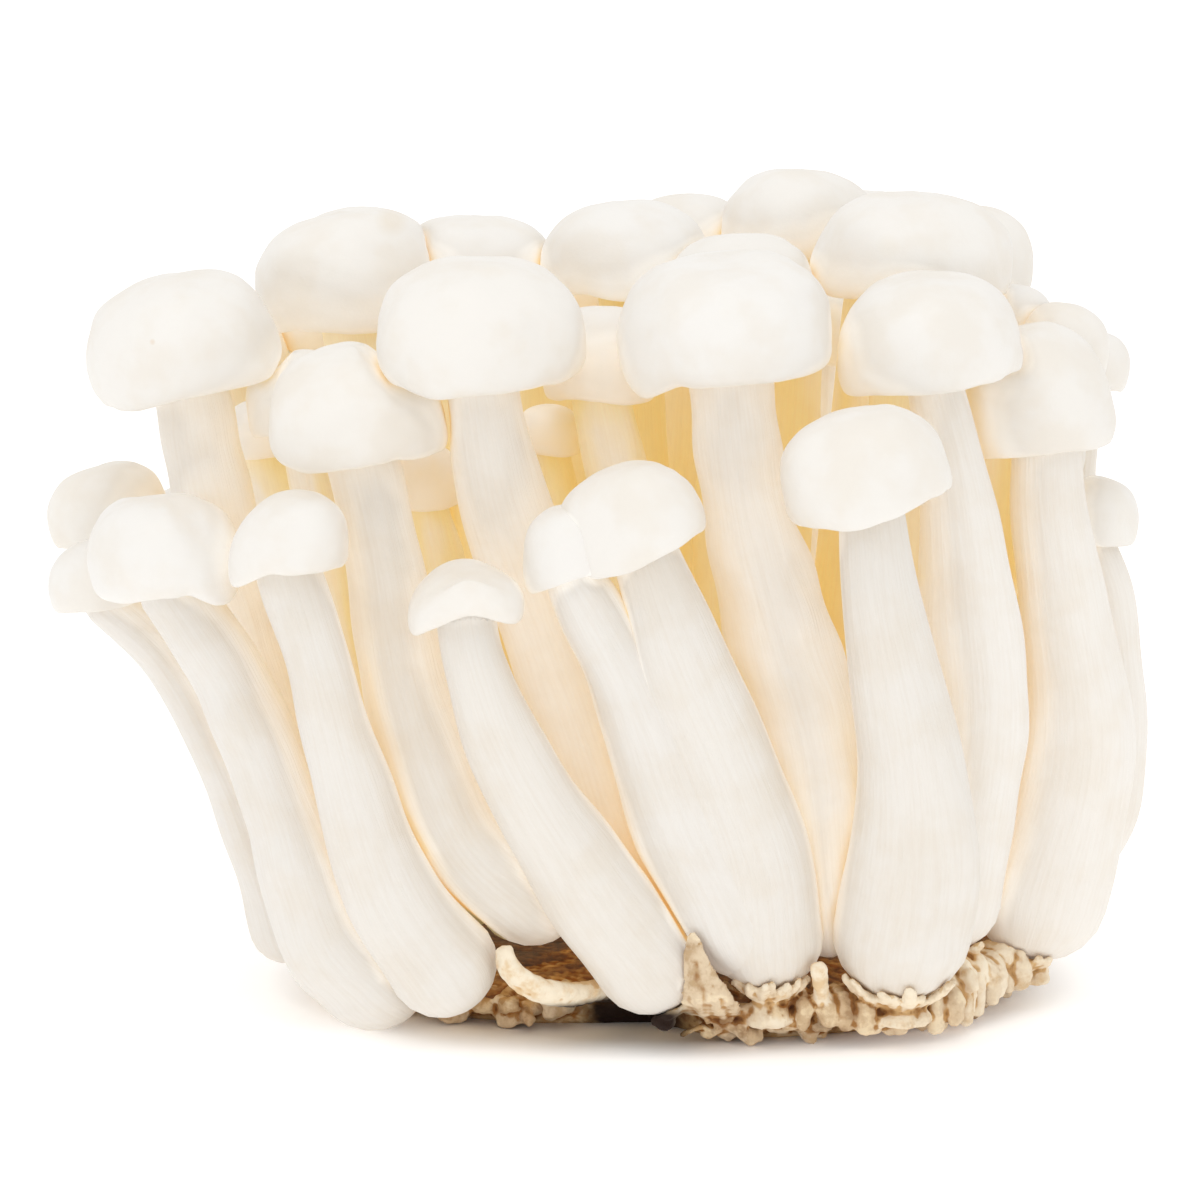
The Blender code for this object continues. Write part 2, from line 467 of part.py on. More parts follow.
def stem_rings_of(one, sides, count):
    """Rings down the stem, ending in a rounded foot."""
    path = even_path(one.line, 240)
    seat_index = int(np.argmin(np.linalg.norm(path[:, :3] - one.seat, axis=1)))
    path = path[seat_index:]
    picks = np.linspace(0, len(path) - 1, count).astype(int)
    turn = np.arange(sides) * 2 * math.pi / sides
    side = Vector(one.frame[0])
    rings = []
    anchors = []
    for index in picks:
        ahead = path[min(index + 1, len(path) - 1), :3] - path[max(index - 1, 0), :3]
        down = Vector(ahead).normalized()
        side = (side - down * side.dot(down)).normalized()
        front = side.cross(down)
        centre = path[index, :3]
        ring = centre + path[index, 3] * (np.outer(np.cos(turn), side) + np.outer(np.sin(turn), front))
        if not rings:
            ring = ring + one.frame[2] * GILL_INNER_LEVEL * one.height
        rings.append(ring)
        anchors.append(np.repeat(centre[None], sides, axis=0))
    foot = path[-1, 3]
    centre = path[-1, :3]
    lower = centre + np.array(down) * foot * math.sin(math.radians(52))
    ring = lower + (rings[-1] - centre) * math.cos(math.radians(52))
    rings.append(ring)
    anchors.append(np.repeat(centre[None], sides, axis=0))
    rings.append((centre + np.array(down) * foot)[None])
    anchors.append(centre[None])
    return rings, anchors


def bridge(upper, lower):
    """Faces between two rings of point numbers that may differ in count."""
    faces = []
    n, m = len(upper), len(lower)
    if n == 1:
        return [(upper[0], lower[k], lower[(k + 1) % m]) for k in range(m)]
    if m == 1:
        return [(upper[(k + 1) % n], upper[k], lower[0]) for k in range(n)]
    i = j = 0
    while i < n or j < m:
        if j >= m or (i < n and (i + 1) * m <= (j + 1) * n):
            faces.append((upper[i % n], lower[j % m], upper[(i + 1) % n]))
            i += 1
        else:
            faces.append((upper[i % n], lower[j % m], lower[(j + 1) % m]))
            j += 1
    return faces


def skin(rings):
    """Points and faces of a closed skin over the rings, from the first ring to the last."""
    points = np.vstack(rings)
    starts = np.cumsum([0] + [len(ring) for ring in rings])
    faces = []
    for k in range(len(rings) - 1):
        upper = list(range(starts[k], starts[k + 1]))
        lower = list(range(starts[k + 1], starts[k + 2]))
        faces += bridge(upper, lower)
    return points, faces


# Materials

def plain_material(name, colour, roughness):
    material = bpy.data.materials.new(name)
    material.use_nodes = True
    shader = material.node_tree.nodes["Principled BSDF"]
    shader.inputs["Base Color"].default_value = (*colour, 1.0)
    shader.inputs["Roughness"].default_value = roughness
    shader.inputs["Metallic"].default_value = 0.0
    material.diffuse_color = (*colour, 1.0)
    return material


def mushroom_material(name):
    rng = random.Random("skin " + name)
    warmth = rng.uniform(0.0, 0.03)
    return plain_material(name + "_skin", (0.90 - warmth, 0.87 - 1.6 * warmth, 0.80 - 3.0 * warmth), 0.48)


def base_material():
    return plain_material("base_growth", (0.62, 0.47, 0.31), 0.85)


def add_object(name, points, faces, material):
    mesh = bpy.data.meshes.new(name)
    mesh.from_pydata([tuple((p + SHIFT) * MM) for p in points], [], faces)
    mesh.validate()
    mesh.materials.append(material)
    for face in mesh.polygons:
        face.use_smooth = True
    made = bpy.data.objects.new(name, mesh)
    bpy.context.scene.collection.objects.link(made)
    return made


def fuse(body, extras):
    """Joins the extra solids into the body with one union, then drops them."""
    group = bpy.data.collections.new("extras")
    bpy.context.scene.collection.children.link(group)
    for extra in extras:
        bpy.context.scene.collection.objects.unlink(extra)
        group.objects.link(extra)
    join = body.modifiers.new("join", "BOOLEAN")
    join.operation = "UNION"
    join.operand_type = "COLLECTION"
    join.collection = group
    join.solver = "MANIFOLD"
    graph = bpy.context.evaluated_depsgraph_get()
    joined = bpy.data.meshes.new_from_object(body.evaluated_get(graph))
    body.modifiers.clear()
    body.data = joined
    for extra in extras:
        bpy.data.objects.remove(extra)
    bpy.data.collections.remove(group)


# Keeping the finished skins apart

def ease_apart(skins):
    """Draws in the points of any two skins that still touch, a little at a time."""
    names = list(skins)
    for _ in range(EASE_ROUNDS):
        trees = {n: BVHTree.FromPolygons([tuple(p) for p in skins[n][0]], skins[n][1]) for n in names}
        hits = {n: set() for n in names}
        for a, first in enumerate(names):
            for second in names[a + 1:]:
                if grown_together(first, second) or not boxes_meet(skins[first][0], skins[second][0]):
                    continue
                for one, two in trees[first].overlap(trees[second]):
                    hits[first].update(skins[first][1][one])
                    hits[second].update(skins[second][1][two])
        if not any(hits.values()):
            return
        for name in names:
            points, _, anchors = skins[name]
            for k in hits[name]:
                points[k] = anchors[k] + (points[k] - anchors[k]) * EASE_FACTOR


def boxes_meet(first, second):
    return bool((first.min(axis=0) < second.max(axis=0)).all()
                and (second.min(axis=0) < first.max(axis=0)).all())


# The dried base

class Ground:
    """The lump of the base: its outline round the middle and the level of its top."""

    def __init__(self, everyone):
        self.angles = np.arange(BASE_ANGLES) * 2 * math.pi / BASE_ANGLES
        self.reaches = np.array([base_reach(a, everyone) for a in self.angles])

    def reach(self, angle):
        """Distance from the middle to the edge, straight between the corners of the outline."""
        step = 2 * math.pi / BASE_ANGLES
        before = np.floor(angle / step).astype(int)
        first = self.reaches[before % BASE_ANGLES]
        second = self.reaches[(before + 1) % BASE_ANGLES]
        part = angle - before * step
        return first * second * math.sin(step) / (first * np.sin(part) + second * np.sin(step - part))

    def top(self, share):
        return BASE_TOP + (BASE_EDGE_TOP - BASE_TOP) * np.minimum(share, 1.0) ** 3

    def height_above(self, points):
        """Level of each point above the top of the lump, large where the lump does not reach."""
        x = points[:, 0] - BASE_MIDDLE[0]
        y = points[:, 1] - BASE_MIDDLE[1]
        share = np.hypot(x, y) / self.reach(np.arctan2(y, x) % (2 * math.pi))
        return np.where(share < 1.06, points[:, 2] - self.top(share), 1e6)

    def rings(self):
        """Rings of the lump from the middle of its top to the middle of its cut underside."""
        middle = np.array([*BASE_MIDDLE, 0.0])
        rng = random.Random(STUB_SEED)
        rings = [(middle + (0, 0, BASE_TOP))[None]]
        for share in BASE_SHARES:
            ring = np.zeros((BASE_ANGLES, 3))
            ring[:, 0] = middle[0] + share * self.reaches * np.cos(self.angles)
            ring[:, 1] = middle[1] + share * self.reaches * np.sin(self.angles)
            ring[:, 2] = self.top(share) - [rng.uniform(0.0, 0.4) for _ in range(BASE_ANGLES)]
            rings.append(ring)
        under = rings[-1].copy()
        shrink = 1.0 - BASE_INSET_UNDER / self.reaches
        under[:, :2] = middle[:2] + (under[:, :2] - middle[:2]) * shrink[:, None]
        under[:, 2] = 0.0
        return rings + [under, middle[None]]


def clear_height(x, y, everyone):
    """Highest level at (x, y) that stays below every foot and stem."""
    best = BASE_TOP
    for one in everyone:
        flat = np.hypot(one.beads[:, 0] - x, one.beads[:, 1] - y)
        reach = one.beads[:, 3] + BASE_FOOT_MARGIN
        near = flat < reach
        if near.any():
            below = one.beads[near, 2] - np.sqrt(reach[near] ** 2 - flat[near] ** 2)
            best = min(best, float(below.min()))
    return best


def base_reach(angle, everyone):
    """How far the base runs out in one direction before a low foot stands in its way."""
    rough = 1.0 + 0.02 * math.sin(7 * angle + 0.6) + 0.02 * math.sin(11 * angle + 2.0)
    for middle, width, depth in BASE_DENTS:
        rough -= depth * math.exp(-((math.degrees(angle) - middle) / width) ** 2)
    across = abs(math.cos(angle) / BASE_REACH[0]) ** BASE_CORNER_POWER
    along = abs(math.sin(angle) / BASE_REACH[1]) ** BASE_CORNER_POWER
    wide = rough * (across + along) ** (-1.0 / BASE_CORNER_POWER)
    for share in np.linspace(0.3, 1.0, 71):
        x = BASE_MIDDLE[0] + wide * share * math.cos(angle)
        y = BASE_MIDDLE[1] + wide * share * math.sin(angle)
        if clear_height(x, y, everyone) < BASE_LEAST_HEIGHT:
            return wide * share - 0.6
    return wide


def stub_path(root, heading, length, drop, curl, thick):
    """Centreline of a curled stub: it runs outwards, then bends down or up and sideways."""
    flat = Vector((math.cos(heading), math.sin(heading), 0.0))
    across = Vector((-flat.y, flat.x, 0.0))
    points = []
    for k in range(STUB_SAMPLES + 1):
        t = k / STUB_SAMPLES
        out = length * math.sin(1.45 * t)
        point = Vector(root) + flat * out + across * (curl * t * t) + Vector((0, 0, -drop * t ** 1.6))
        points.append((*point, thick * (1.0 - 0.35 * t)))
    return points


def stub_fits(points, everyone):
    """True when every part of a stub is clear of the mushrooms and above the ground."""
    dense = smooth_path(points, 14)
    for one in everyone:
        if (one.distance(dense[:, :3]) < dense[:, 3] + CLEAR).any():
            return False
    return bool((dense[:, 2] - dense[:, 3] > 0.02).all())


def tube_rings(points, sides, flatness=1.0):
    """Rings of a closed tube along the points, with blunt ends."""
    path = np.array(points)
    turn = np.arange(sides) * 2 * math.pi / sides
    side = Vector((0.0, 0.0, 1.0))
    rings = []
    for k in range(len(path)):
        ahead = Vector(path[min(k + 1, len(path) - 1), :3] - path[max(k - 1, 0), :3]).normalized()
        side = (side - ahead * side.dot(ahead)).normalized()
        front = side.cross(ahead)
        ring = path[k, :3] + path[k, 3] * (np.outer(np.cos(turn) * flatness, side)
                                           + np.outer(np.sin(turn), front))
        rings.append(ring)
    start = Vector(path[0, :3] - path[1, :3]).normalized()
    end = Vector(path[-1, :3] - path[-2, :3]).normalized()
    first = (path[0, :3] + np.array(start) * path[0, 3] * 0.6)[None]
    last = (path[-1, :3] + np.array(end) * path[-1, 3] * 0.7)[None]
    return [first] + rings + [last]


def stub_tubes(ground, everyone):
    """The curled stubs round the edge of the base, those that stand clear of every mushroom."""
    rng = random.Random(STUB_SEED)
    tubes = []
    for _ in range(STUB_TRIES):
        at_front = rng.random() < STUB_FRONT_SHARE
        direction = (rng.uniform(*STUB_FRONT) if at_front else rng.uniform(0.0, 360.0)) % 360.0
        heading = math.radians(direction)
        thick = rng.uniform(1.2, 2.1)
        reach = float(ground.reach(heading)) - rng.uniform(1.0, 2.2)
        root = (BASE_MIDDLE[0] + reach * math.cos(heading),
                BASE_MIDDLE[1] + reach * math.sin(heading), rng.uniform(1.8, 3.4))
        points = stub_path(root, heading + rng.uniform(-0.5, 0.5), rng.uniform(2.6, 4.8),
                           rng.uniform(-2.6, 1.8), rng.uniform(-1.8, 1.8), thick)
        in_hollow = HOLLOW[0] < direction < HOLLOW[1]
        if not in_hollow and stub_fits(points, everyone):
            tubes.append(tube_rings(points, STUB_SIDES))
        if len(tubes) == STUB_COUNT:
            break
    return tubes


def draw_in(rings, centres, everyone):
    """Draws the rings of a tube towards its centreline until they are clear of the mushrooms."""
    out = []
    for ring, centre in zip(rings, centres):
        share = np.ones(len(ring))
        for _ in range(DRAW_ROUNDS):
            points = centre + (ring - centre) * share[:, None]
            gap = np.min([one.distance(points) for one in everyone], axis=0)
            share = np.where(gap < CLEAR + 0.1, share * DRAW_FACTOR, share)
        out.append(centre + (ring - centre) * share[:, None])
    return out


def front_growths(everyone):
    """The husk, the flap and the knob that show between the front feet."""
    out = []
    for points, flatness in (HUSK, FLAP, KNOB):
        path = smooth_path(points, FRONT_SAMPLES)
        centres = np.vstack((path[:1, :3], path[:, :3], path[-1:, :3]))
        out.append(draw_in(tube_rings(path, 6, flatness), centres, everyone))
    return out


def base_object(ground, everyone):
    """The lump with its stubs, husk, flap and knob joined into one solid."""
    material = base_material()
    core = add_object("base", *skin(ground.rings()), material)
    extras = []
    for number, tube in enumerate(stub_tubes(ground, everyone) + front_growths(everyone)):
        extras.append(add_object("stub_%02d" % number, *skin(tube), material))
    fuse(core, extras)


# Building

def clear_scene():
    for old in list(bpy.data.objects):
        bpy.data.objects.remove(old, do_unlink=True)


def build():
    clear_scene()
    everyone = [Mushroom(name, row) for name, row in MUSHROOMS.items()]
    ground = Ground(everyone)
    skins = {}
    for one in everyone:
        rings, anchors = mushroom_rings(one)
        points, faces = skin(rings)
        anchor_points = np.vstack(anchors)
        for partner in partners_of(one, everyone):
            points = melt_seam(one, partner, points)
        pressed = press_in(one, neighbours_of(one, everyone), ground, points, anchor_points)
        skins[one.name] = (pressed, faces, anchor_points)
    ease_apart(skins)
    made = {}
    for name, (points, faces, _) in skins.items():
        made[name] = add_object(name, points, faces, mushroom_material(TWIN_OF if name in TWIN else name))
    fuse(made[TWIN_OF], [made[name] for name in TWIN])
    base_object(ground, everyone)


build()
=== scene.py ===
"""White beech mushroom bunch: the finished look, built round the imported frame.

Frame: metres, +Z up, front faces -Y, ground at z = 0. The tables are in millimetres, measured from the
middle of the front view; add_mesh moves everything by SHIFT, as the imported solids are.
Each mushroom is one skin of rings from the top of its cap, over the rolled-in rim, the gills and the
stem, to its foot. Neighbours that press on each other are flattened along the surface between them.
"""

import math
import random

import bpy
import numpy as np
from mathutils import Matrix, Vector
from mathutils.bvhtree import BVHTree
from mathutils.kdtree import KDTree


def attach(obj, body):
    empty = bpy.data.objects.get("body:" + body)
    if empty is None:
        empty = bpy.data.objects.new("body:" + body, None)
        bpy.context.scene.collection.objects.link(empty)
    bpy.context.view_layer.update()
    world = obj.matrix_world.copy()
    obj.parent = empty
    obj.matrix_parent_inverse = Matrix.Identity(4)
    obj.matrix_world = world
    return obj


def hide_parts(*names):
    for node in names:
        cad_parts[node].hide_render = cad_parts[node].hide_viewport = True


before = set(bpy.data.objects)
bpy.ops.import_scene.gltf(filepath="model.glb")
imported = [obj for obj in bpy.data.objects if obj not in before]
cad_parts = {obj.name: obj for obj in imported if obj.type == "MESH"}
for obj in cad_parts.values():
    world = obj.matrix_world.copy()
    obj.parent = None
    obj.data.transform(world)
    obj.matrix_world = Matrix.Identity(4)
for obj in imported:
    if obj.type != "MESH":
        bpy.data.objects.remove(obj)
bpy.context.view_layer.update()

# Driving dimensions: a millimetre in metres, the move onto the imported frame, the hairline between
# neighbours, and how skins are drawn in until they keep it
MM = 0.001
SHIFT = (0.35, -2.48, 0.0)
CLEAR = 0.30
SAMPLE_STEP = 0.9
PULL_STEPS = 11
LEAST_PULL = 0.22
SMOOTH_PULL_ROUNDS = 3

# Cap outline as shares of the cap's radius and height
RIM_LEVEL = 0.24
DOME_WIDTH_POWER = 0.78
DOME_HEIGHT_POWER = 0.86
RIM_BOTTOM_RADIUS = 0.93
GILL_OUTER_RADIUS = 0.82
GILL_CREST_LEVEL = 0.05
GILL_TROUGH_LEVEL = 0.17
GILL_INNER_LEVEL = 0.10
GILL_INNER_TROUGH_LEVEL = 0.17
GILL_INNER_RADIUS = 1.30

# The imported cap's outline below its widest ring, as (share of radius, share of height)
OUTLINE_BELOW = ((0.985, 0.1), (RIM_BOTTOM_RADIUS, 0.0), (0.86, 0.01),
                 (GILL_OUTER_RADIUS, GILL_CREST_LEVEL), (0.0, GILL_INNER_LEVEL))
OUTLINE_STEP = 8

# How far the stem's middle line runs up into the cap, as a share of the cap's height
NECK_INSIDE = 0.35

# Unevenness of rims and edges without waves of their own, as shares of the radius
OWN_RIM_WAVES = (0.01, 0.05)
OWN_EDGE_WAVES = (0.01, 0.03)

# How far a mushroom's box reaches beyond its stem points and cap radius, in mm
BOX_MARGIN = 1.5

# Rolled-in rim as (share of radius, share of height)
RIM_PROFILE = ((1.0, 0.20), (0.997, 0.15), (0.989, 0.105), (0.974, 0.06), (0.955, 0.025),
               (0.93, 0.0), (0.902, -0.008), (0.878, 0.002), (0.858, 0.018), (0.842, 0.042))

# Mesh fineness
FRONT_SIDES = 96
OTHER_SIDES = 72
DOME_STEP = 3.6
GILL_RINGS = 9
FRONT_STEM_RINGS = 66
OTHER_STEM_RINGS = 44
FOOT_ANGLES = (18, 36, 52, 66, 78)

# Each mushroom: middle of the rim plane (x, y, z), cap radius, cap height,
# lean to the right and lean to the front in degrees, radius of the neck,
# then points down the stem as (x, y, z, radius), the last one inside the rounded foot.
FRONT_ROW = {
    "mushroom_01": ((-52.0, -14.0, 44.0), 5.5, 6.4, -14, 4, 2.7,
                    ((-45.2, -14.0, 37.2, 2.9), (-38.9, -14.0, 25.2, 3.2), (-33.3, -12.3, 8.2, 3.9))),
    "mushroom_02": ((-44.0, -26.0, 47.6), 8.0, 9.2, -8, 6, 3.6,
                    ((-37.7, -26.0, 37.2, 3.8), (-32.2, -26.0, 23.4, 4.5),
                     (-28.4, -25.3, 11.6, 5.5), (-23.8, -24.0, 6.4, 6.3))),
    "mushroom_03": ((-31.4, -34.0, 50.8), 6.1, 7.4, 4, 5, 3.3,
                    ((-28.4, -34.0, 40.5, 3.4), (-25.4, -33.5, 28.5, 4.0),
                     (-21.4, -32.0, 16.5, 4.9), (-16.4, -29.8, 8.7, 5.7))),
    "mushroom_04": ((-24.6, -24.4, 61.1), 8.9, 11.0, -4, 4, 3.8,
                    ((-22.3, -25.6, 51.0, 4.0), (-19.4, -26.4, 36.0, 5.0),
                     (-13.8, -27.2, 22.0, 5.6), (-7.2, -27.4, 15.6, 5.6))),
    "mushroom_05": ((-13.4, -37.6, 46.2), 5.8, 5.0, 0, 10, 3.1,
                    ((-12.3, -37.8, 41.0, 3.3), (-9.0, -37.2, 32.0, 4.1),
                     (-1.5, -34.2, 18.6, 5.2), (5.0, -31.6, 9.4, 5.6))),
    "mushroom_06": ((4.4, -37.0, 53.1), 6.9, 8.8, -22, 4, 3.2,
                    ((7.9, -36.0, 42.8, 4.4), (12.5, -34.0, 31.6, 4.8),
                     (16.4, -32.0, 20.4, 5.2), (17.4, -30.6, 11.6, 5.4))),
    "mushroom_07": ((27.0, -35.0, 57.4), 8.4, 9.8, -13, 5, 3.3,
                    ((28.3, -35.0, 47.0, 4.0), (31.0, -34.0, 34.0, 5.2),
                     (32.1, -32.0, 22.0, 6.6), (31.0, -30.0, 12.3, 7.3))),
}
SECOND_ROW = {
    "mushroom_08": ((-12.4, -24.6, 69.2), 10.7, 11.8, 0, 5, 3.8,
                    ((-10.2, -23.6, 57.0, 4.7), (-6.0, -22.6, 44.5, 5.1),
                     (-1.2, -23.6, 31.0, 5.1), (4.6, -24.8, 12.5, 4.6))),
    "mushroom_09": ((13.3, -23.0, 69.8), 11.4, 11.4, -6, 5, 4.4,
                    ((14.9, -23.0, 56.0, 4.5), (18.4, -23.0, 42.5, 5.6),
                     (21.8, -23.4, 30.0, 5.7), (23.8, -25.0, 13.4, 5.2))),
    "mushroom_10": ((34.0, -21.0, 68.4), 9.7, 10.6, -6, 4, 2.9,
                    ((36.5, -21.0, 58.0, 3.6), (38.0, -21.0, 45.0, 5.0),
                     (38.9, -21.0, 32.0, 5.5), (36.8, -19.6, 13.0, 5.3))),
    "mushroom_11": ((46.6, -13.0, 60.6), 7.7, 12.4, -14, 6, 3.6,
                    ((47.0, -13.0, 53.5, 4.1), (48.8, -13.0, 42.5, 4.8),
                     (50.4, -13.0, 27.5, 6.2), (46.8, -12.6, 11.8, 7.1))),
    "mushroom_12": ((-42.7, -14.0, 66.8), 10.1, 11.4, -12, 4, 3.8,
                    ((-40.6, -14.0, 55.0, 4.3), (-36.6, -12.6, 40.0, 4.4),
                     (-31.0, -10.5, 21.0, 4.5), (-25.0, -8.0, 9.6, 4.5))),
    "mushroom_13": ((-31.0, -14.0, 62.0), 5.4, 8.3, -8, 2, 2.3,
                    ((-28.8, -13.6, 50.0, 2.7), (-25.0, -13.0, 32.0, 3.0), (-17.4, -12.0, 10.4, 3.4))),
    "mushroom_14": ((0.2, -9.6, 65.0), 6.2, 9.4, 0, 2, 3.2,
                    ((1.8, -10.4, 57.0, 3.4), (5.4, -13.0, 36.0, 3.6), (15.4, -17.6, 10.0, 4.2))),
    "mushroom_15": ((-18.3, -11.0, 53.6), 4.2, 6.4, -4, 2, 2.4,
                    ((-16.6, -10.8, 44.0, 3.0), (-13.6, -10.2, 28.0, 3.2), (-9.0, -9.6, 9.6, 3.6))),
    "mushroom_16": ((52.4, -5.0, 49.2), 4.6, 6.4, 10, 4, 2.1,
                    ((54.4, -5.0, 42.0, 2.7), (55.5, -5.0, 31.0, 2.9),
                     (54.4, -4.6, 19.5, 3.6), (48.8, -3.2, 9.8, 4.3))),
    "mushroom_17": ((-52.2, -1.0, 48.6), 6.7, 7.8, -12, 0, 2.8,
                    ((-46.4, -1.0, 39.0, 3.1), (-39.0, 0.0, 22.5, 3.6), (-31.0, 1.0, 9.0, 4.1))),
}
MIDDLE_ROWS = {
    "mushroom_18": ((-26.2, 2.0, 71.4), 10.2, 12.0, -8, 0, 3.8,
                    ((-22.8, 1.8, 57.0, 4.4), (-19.4, 1.0, 36.0, 4.6), (-14.6, -0.6, 10.0, 4.7))),
    "mushroom_19": ((-14.0, 6.8, 73.0), 9.2, 9.4, 2, -2, 3.3,
                    ((-13.4, 5.6, 58.0, 4.1), (-10.6, 3.8, 36.0, 4.4), (-5.6, 1.0, 9.8, 4.6))),
    "mushroom_20": ((2.9, 1.8, 74.6), 9.3, 9.8, -3, -2, 3.3,
                    ((3.6, 1.0, 60.0, 3.5), (3.8, -2.0, 36.0, 3.8), (4.2, -6.6, 9.6, 4.2))),
    "mushroom_21": ((9.6, 17.0, 76.0), 7.4, 7.6, 2, -6, 2.8,
                    ((9.0, 15.0, 61.0, 3.1), (7.0, 10.6, 36.0, 3.4), (4.6, 4.0, 9.6, 4.0))),
    "mushroom_22": ((21.6, 10.6, 77.0), 8.6, 10.0, 3, -4, 3.3,
                    ((20.6, 9.6, 60.0, 3.6), (18.0, 6.6, 36.0, 4.0), (14.2, 2.4, 9.8, 4.3))),
    "mushroom_23": ((30.4, 23.6, 76.0), 6.8, 7.4, 6, -10, 2.7,
                    ((29.0, 21.6, 61.0, 3.1), (27.0, 17.4, 36.0, 3.6), (24.6, 12.8, 9.8, 4.3))),
    "mushroom_24": ((33.0, -4.0, 75.0), 10.6, 10.8, 3, 0, 3.8,
                    ((32.4, -4.2, 60.0, 4.0), (30.4, -5.0, 36.0, 4.3), (26.0, -7.2, 10.0, 4.6))),
    "mushroom_25": ((39.4, 11.0, 74.4), 7.2, 8.8, 8, -6, 3.0,
                    ((38.6, 9.6, 58.0, 3.3), (33.4, 7.0, 34.0, 3.8), (23.0, 3.6, 9.8, 4.3))),
    "mushroom_26": ((43.8, 2.4, 69.2), 4.8, 6.2, 10, -2, 2.4,
                    ((43.0, 2.0, 56.0, 3.2), (40.4, 1.2, 34.0, 3.5), (32.0, 0.0, 9.6, 3.9))),
    "mushroom_27": ((14.8, -6.0, 71.8), 8.6, 9.8, -2, 2, 3.4,
                    ((14.4, -6.0, 58.0, 4.0), (13.9, -6.8, 36.0, 4.2), (13.6, -8.0, 9.8, 4.3))),
    "mushroom_28": ((49.0, -3.0, 66.8), 5.0, 7.2, 8, 0, 2.4,
                    ((49.2, -3.2, 54.0, 2.8), (46.0, -3.8, 33.0, 3.3), (37.2, -6.0, 9.8, 4.1))),
    "mushroom_29": ((52.4, 6.6, 64.0), 4.6, 6.2, 12, -4, 2.2,
                    ((51.0, 6.4, 51.0, 2.7), (48.6, 5.8, 31.0, 3.1), (40.4, 4.0, 9.4, 3.9))),
    "mushroom_30": ((-5.8, 20.6, 69.4), 7.9, 8.4, -2, -6, 3.6,
                    ((-4.8, 19.0, 55.0, 4.1), (-4.6, 15.6, 34.0, 4.2), (-3.6, 10.6, 9.8, 4.4))),
    "mushroom_31": ((-29.6, 19.0, 66.0), 7.0, 8.4, -6, -4, 2.8,
                    ((-27.4, 17.6, 53.0, 3.2), (-22.4, 14.0, 32.0, 3.6), (-14.6, 8.0, 9.6, 4.0))),
    "mushroom_32": ((18.4, 26.6, 70.0), 6.6, 7.6, 2, -8, 2.7,
                    ((17.8, 24.0, 57.0, 3.0), (16.6, 18.4, 34.0, 3.5), (14.6, 11.4, 9.6, 4.2))),
    "mushroom_43": ((-36.0, 3.0, 57.0), 4.4, 6.0, -6, 0, 2.6,
                    ((-34.6, 2.6, 49.0, 3.2), (-31.4, 1.8, 30.0, 3.4), (-23.6, 0.4, 9.6, 3.8))),
    "mushroom_44": ((-5.4, -3.0, 58.0), 3.8, 5.2, -4, 0, 2.3,
                    ((-4.2, -3.4, 49.0, 2.7), (-1.6, -4.6, 31.0, 2.9), (3.0, -8.4, 9.6, 3.4))),
}
BACK_ROW = {
    "mushroom_33": ((-42.0, 13.6, 62.6), 8.6, 9.6, -10, -6, 3.3,
                    ((-37.6, 12.6, 47.0, 3.8), (-32.0, 10.6, 27.0, 4.3), (-24.6, 7.6, 10.0, 5.0))),
    "mushroom_34": ((-29.0, 32.0, 60.0), 8.6, 9.8, -8, -10, 3.3,
                    ((-27.4, 28.4, 47.0, 3.9), (-21.4, 22.6, 27.0, 4.5), (-14.8, 16.8, 10.0, 5.2))),
    "mushroom_35": ((-45.0, 27.0, 43.0), 6.2, 7.4, -12, -12, 2.7,
                    ((-39.0, 25.0, 33.0, 3.2), (-31.0, 21.6, 19.6, 3.9), (-23.4, 17.6, 9.0, 4.7))),
    "mushroom_36": ((-13.0, 36.4, 61.0), 8.7, 9.4, -4, -13, 3.3,
                    ((-11.0, 33.6, 45.0, 4.0), (-8.0, 28.0, 26.0, 4.8), (-5.0, 20.6, 10.0, 5.4))),
    "mushroom_37": ((5.6, 34.0, 68.6), 9.2, 10.2, 0, -10, 3.5,
                    ((5.6, 31.6, 54.0, 4.1), (5.4, 27.0, 32.0, 4.7), (5.0, 20.2, 10.0, 5.3))),
    "mushroom_38": ((2.0, 42.0, 42.0), 6.4, 7.2, -2, -14, 2.8,
                    ((1.8, 39.6, 32.0, 3.4), (1.0, 34.6, 18.0, 4.2), (0.0, 29.6, 8.8, 4.9))),
    "mushroom_39": ((24.4, 37.0, 62.0), 8.8, 9.8, 4, -12, 3.4,
                    ((22.8, 34.4, 47.0, 4.1), (19.4, 28.8, 27.0, 4.8), (14.8, 21.6, 10.0, 5.4))),
    "mushroom_40": ((42.0, 27.0, 59.0), 8.2, 9.6, 10, -10, 3.2,
                    ((39.0, 25.6, 45.0, 3.9), (33.0, 23.0, 26.0, 4.6), (25.4, 20.4, 10.0, 5.2))),
    "mushroom_41": ((50.0, 18.0, 45.0), 6.6, 7.8, 12, -6, 2.9,
                    ((47.4, 17.0, 36.0, 3.4), (43.6, 15.0, 23.0, 4.2), (35.2, 12.2, 9.6, 4.9))),
    "mushroom_42": ((32.0, 38.6, 43.0), 6.2, 7.2, 8, -14, 2.7,
                    ((29.4, 37.0, 33.0, 3.3), (25.0, 33.6, 19.0, 4.1), (19.6, 29.6, 9.0, 4.8))),
}
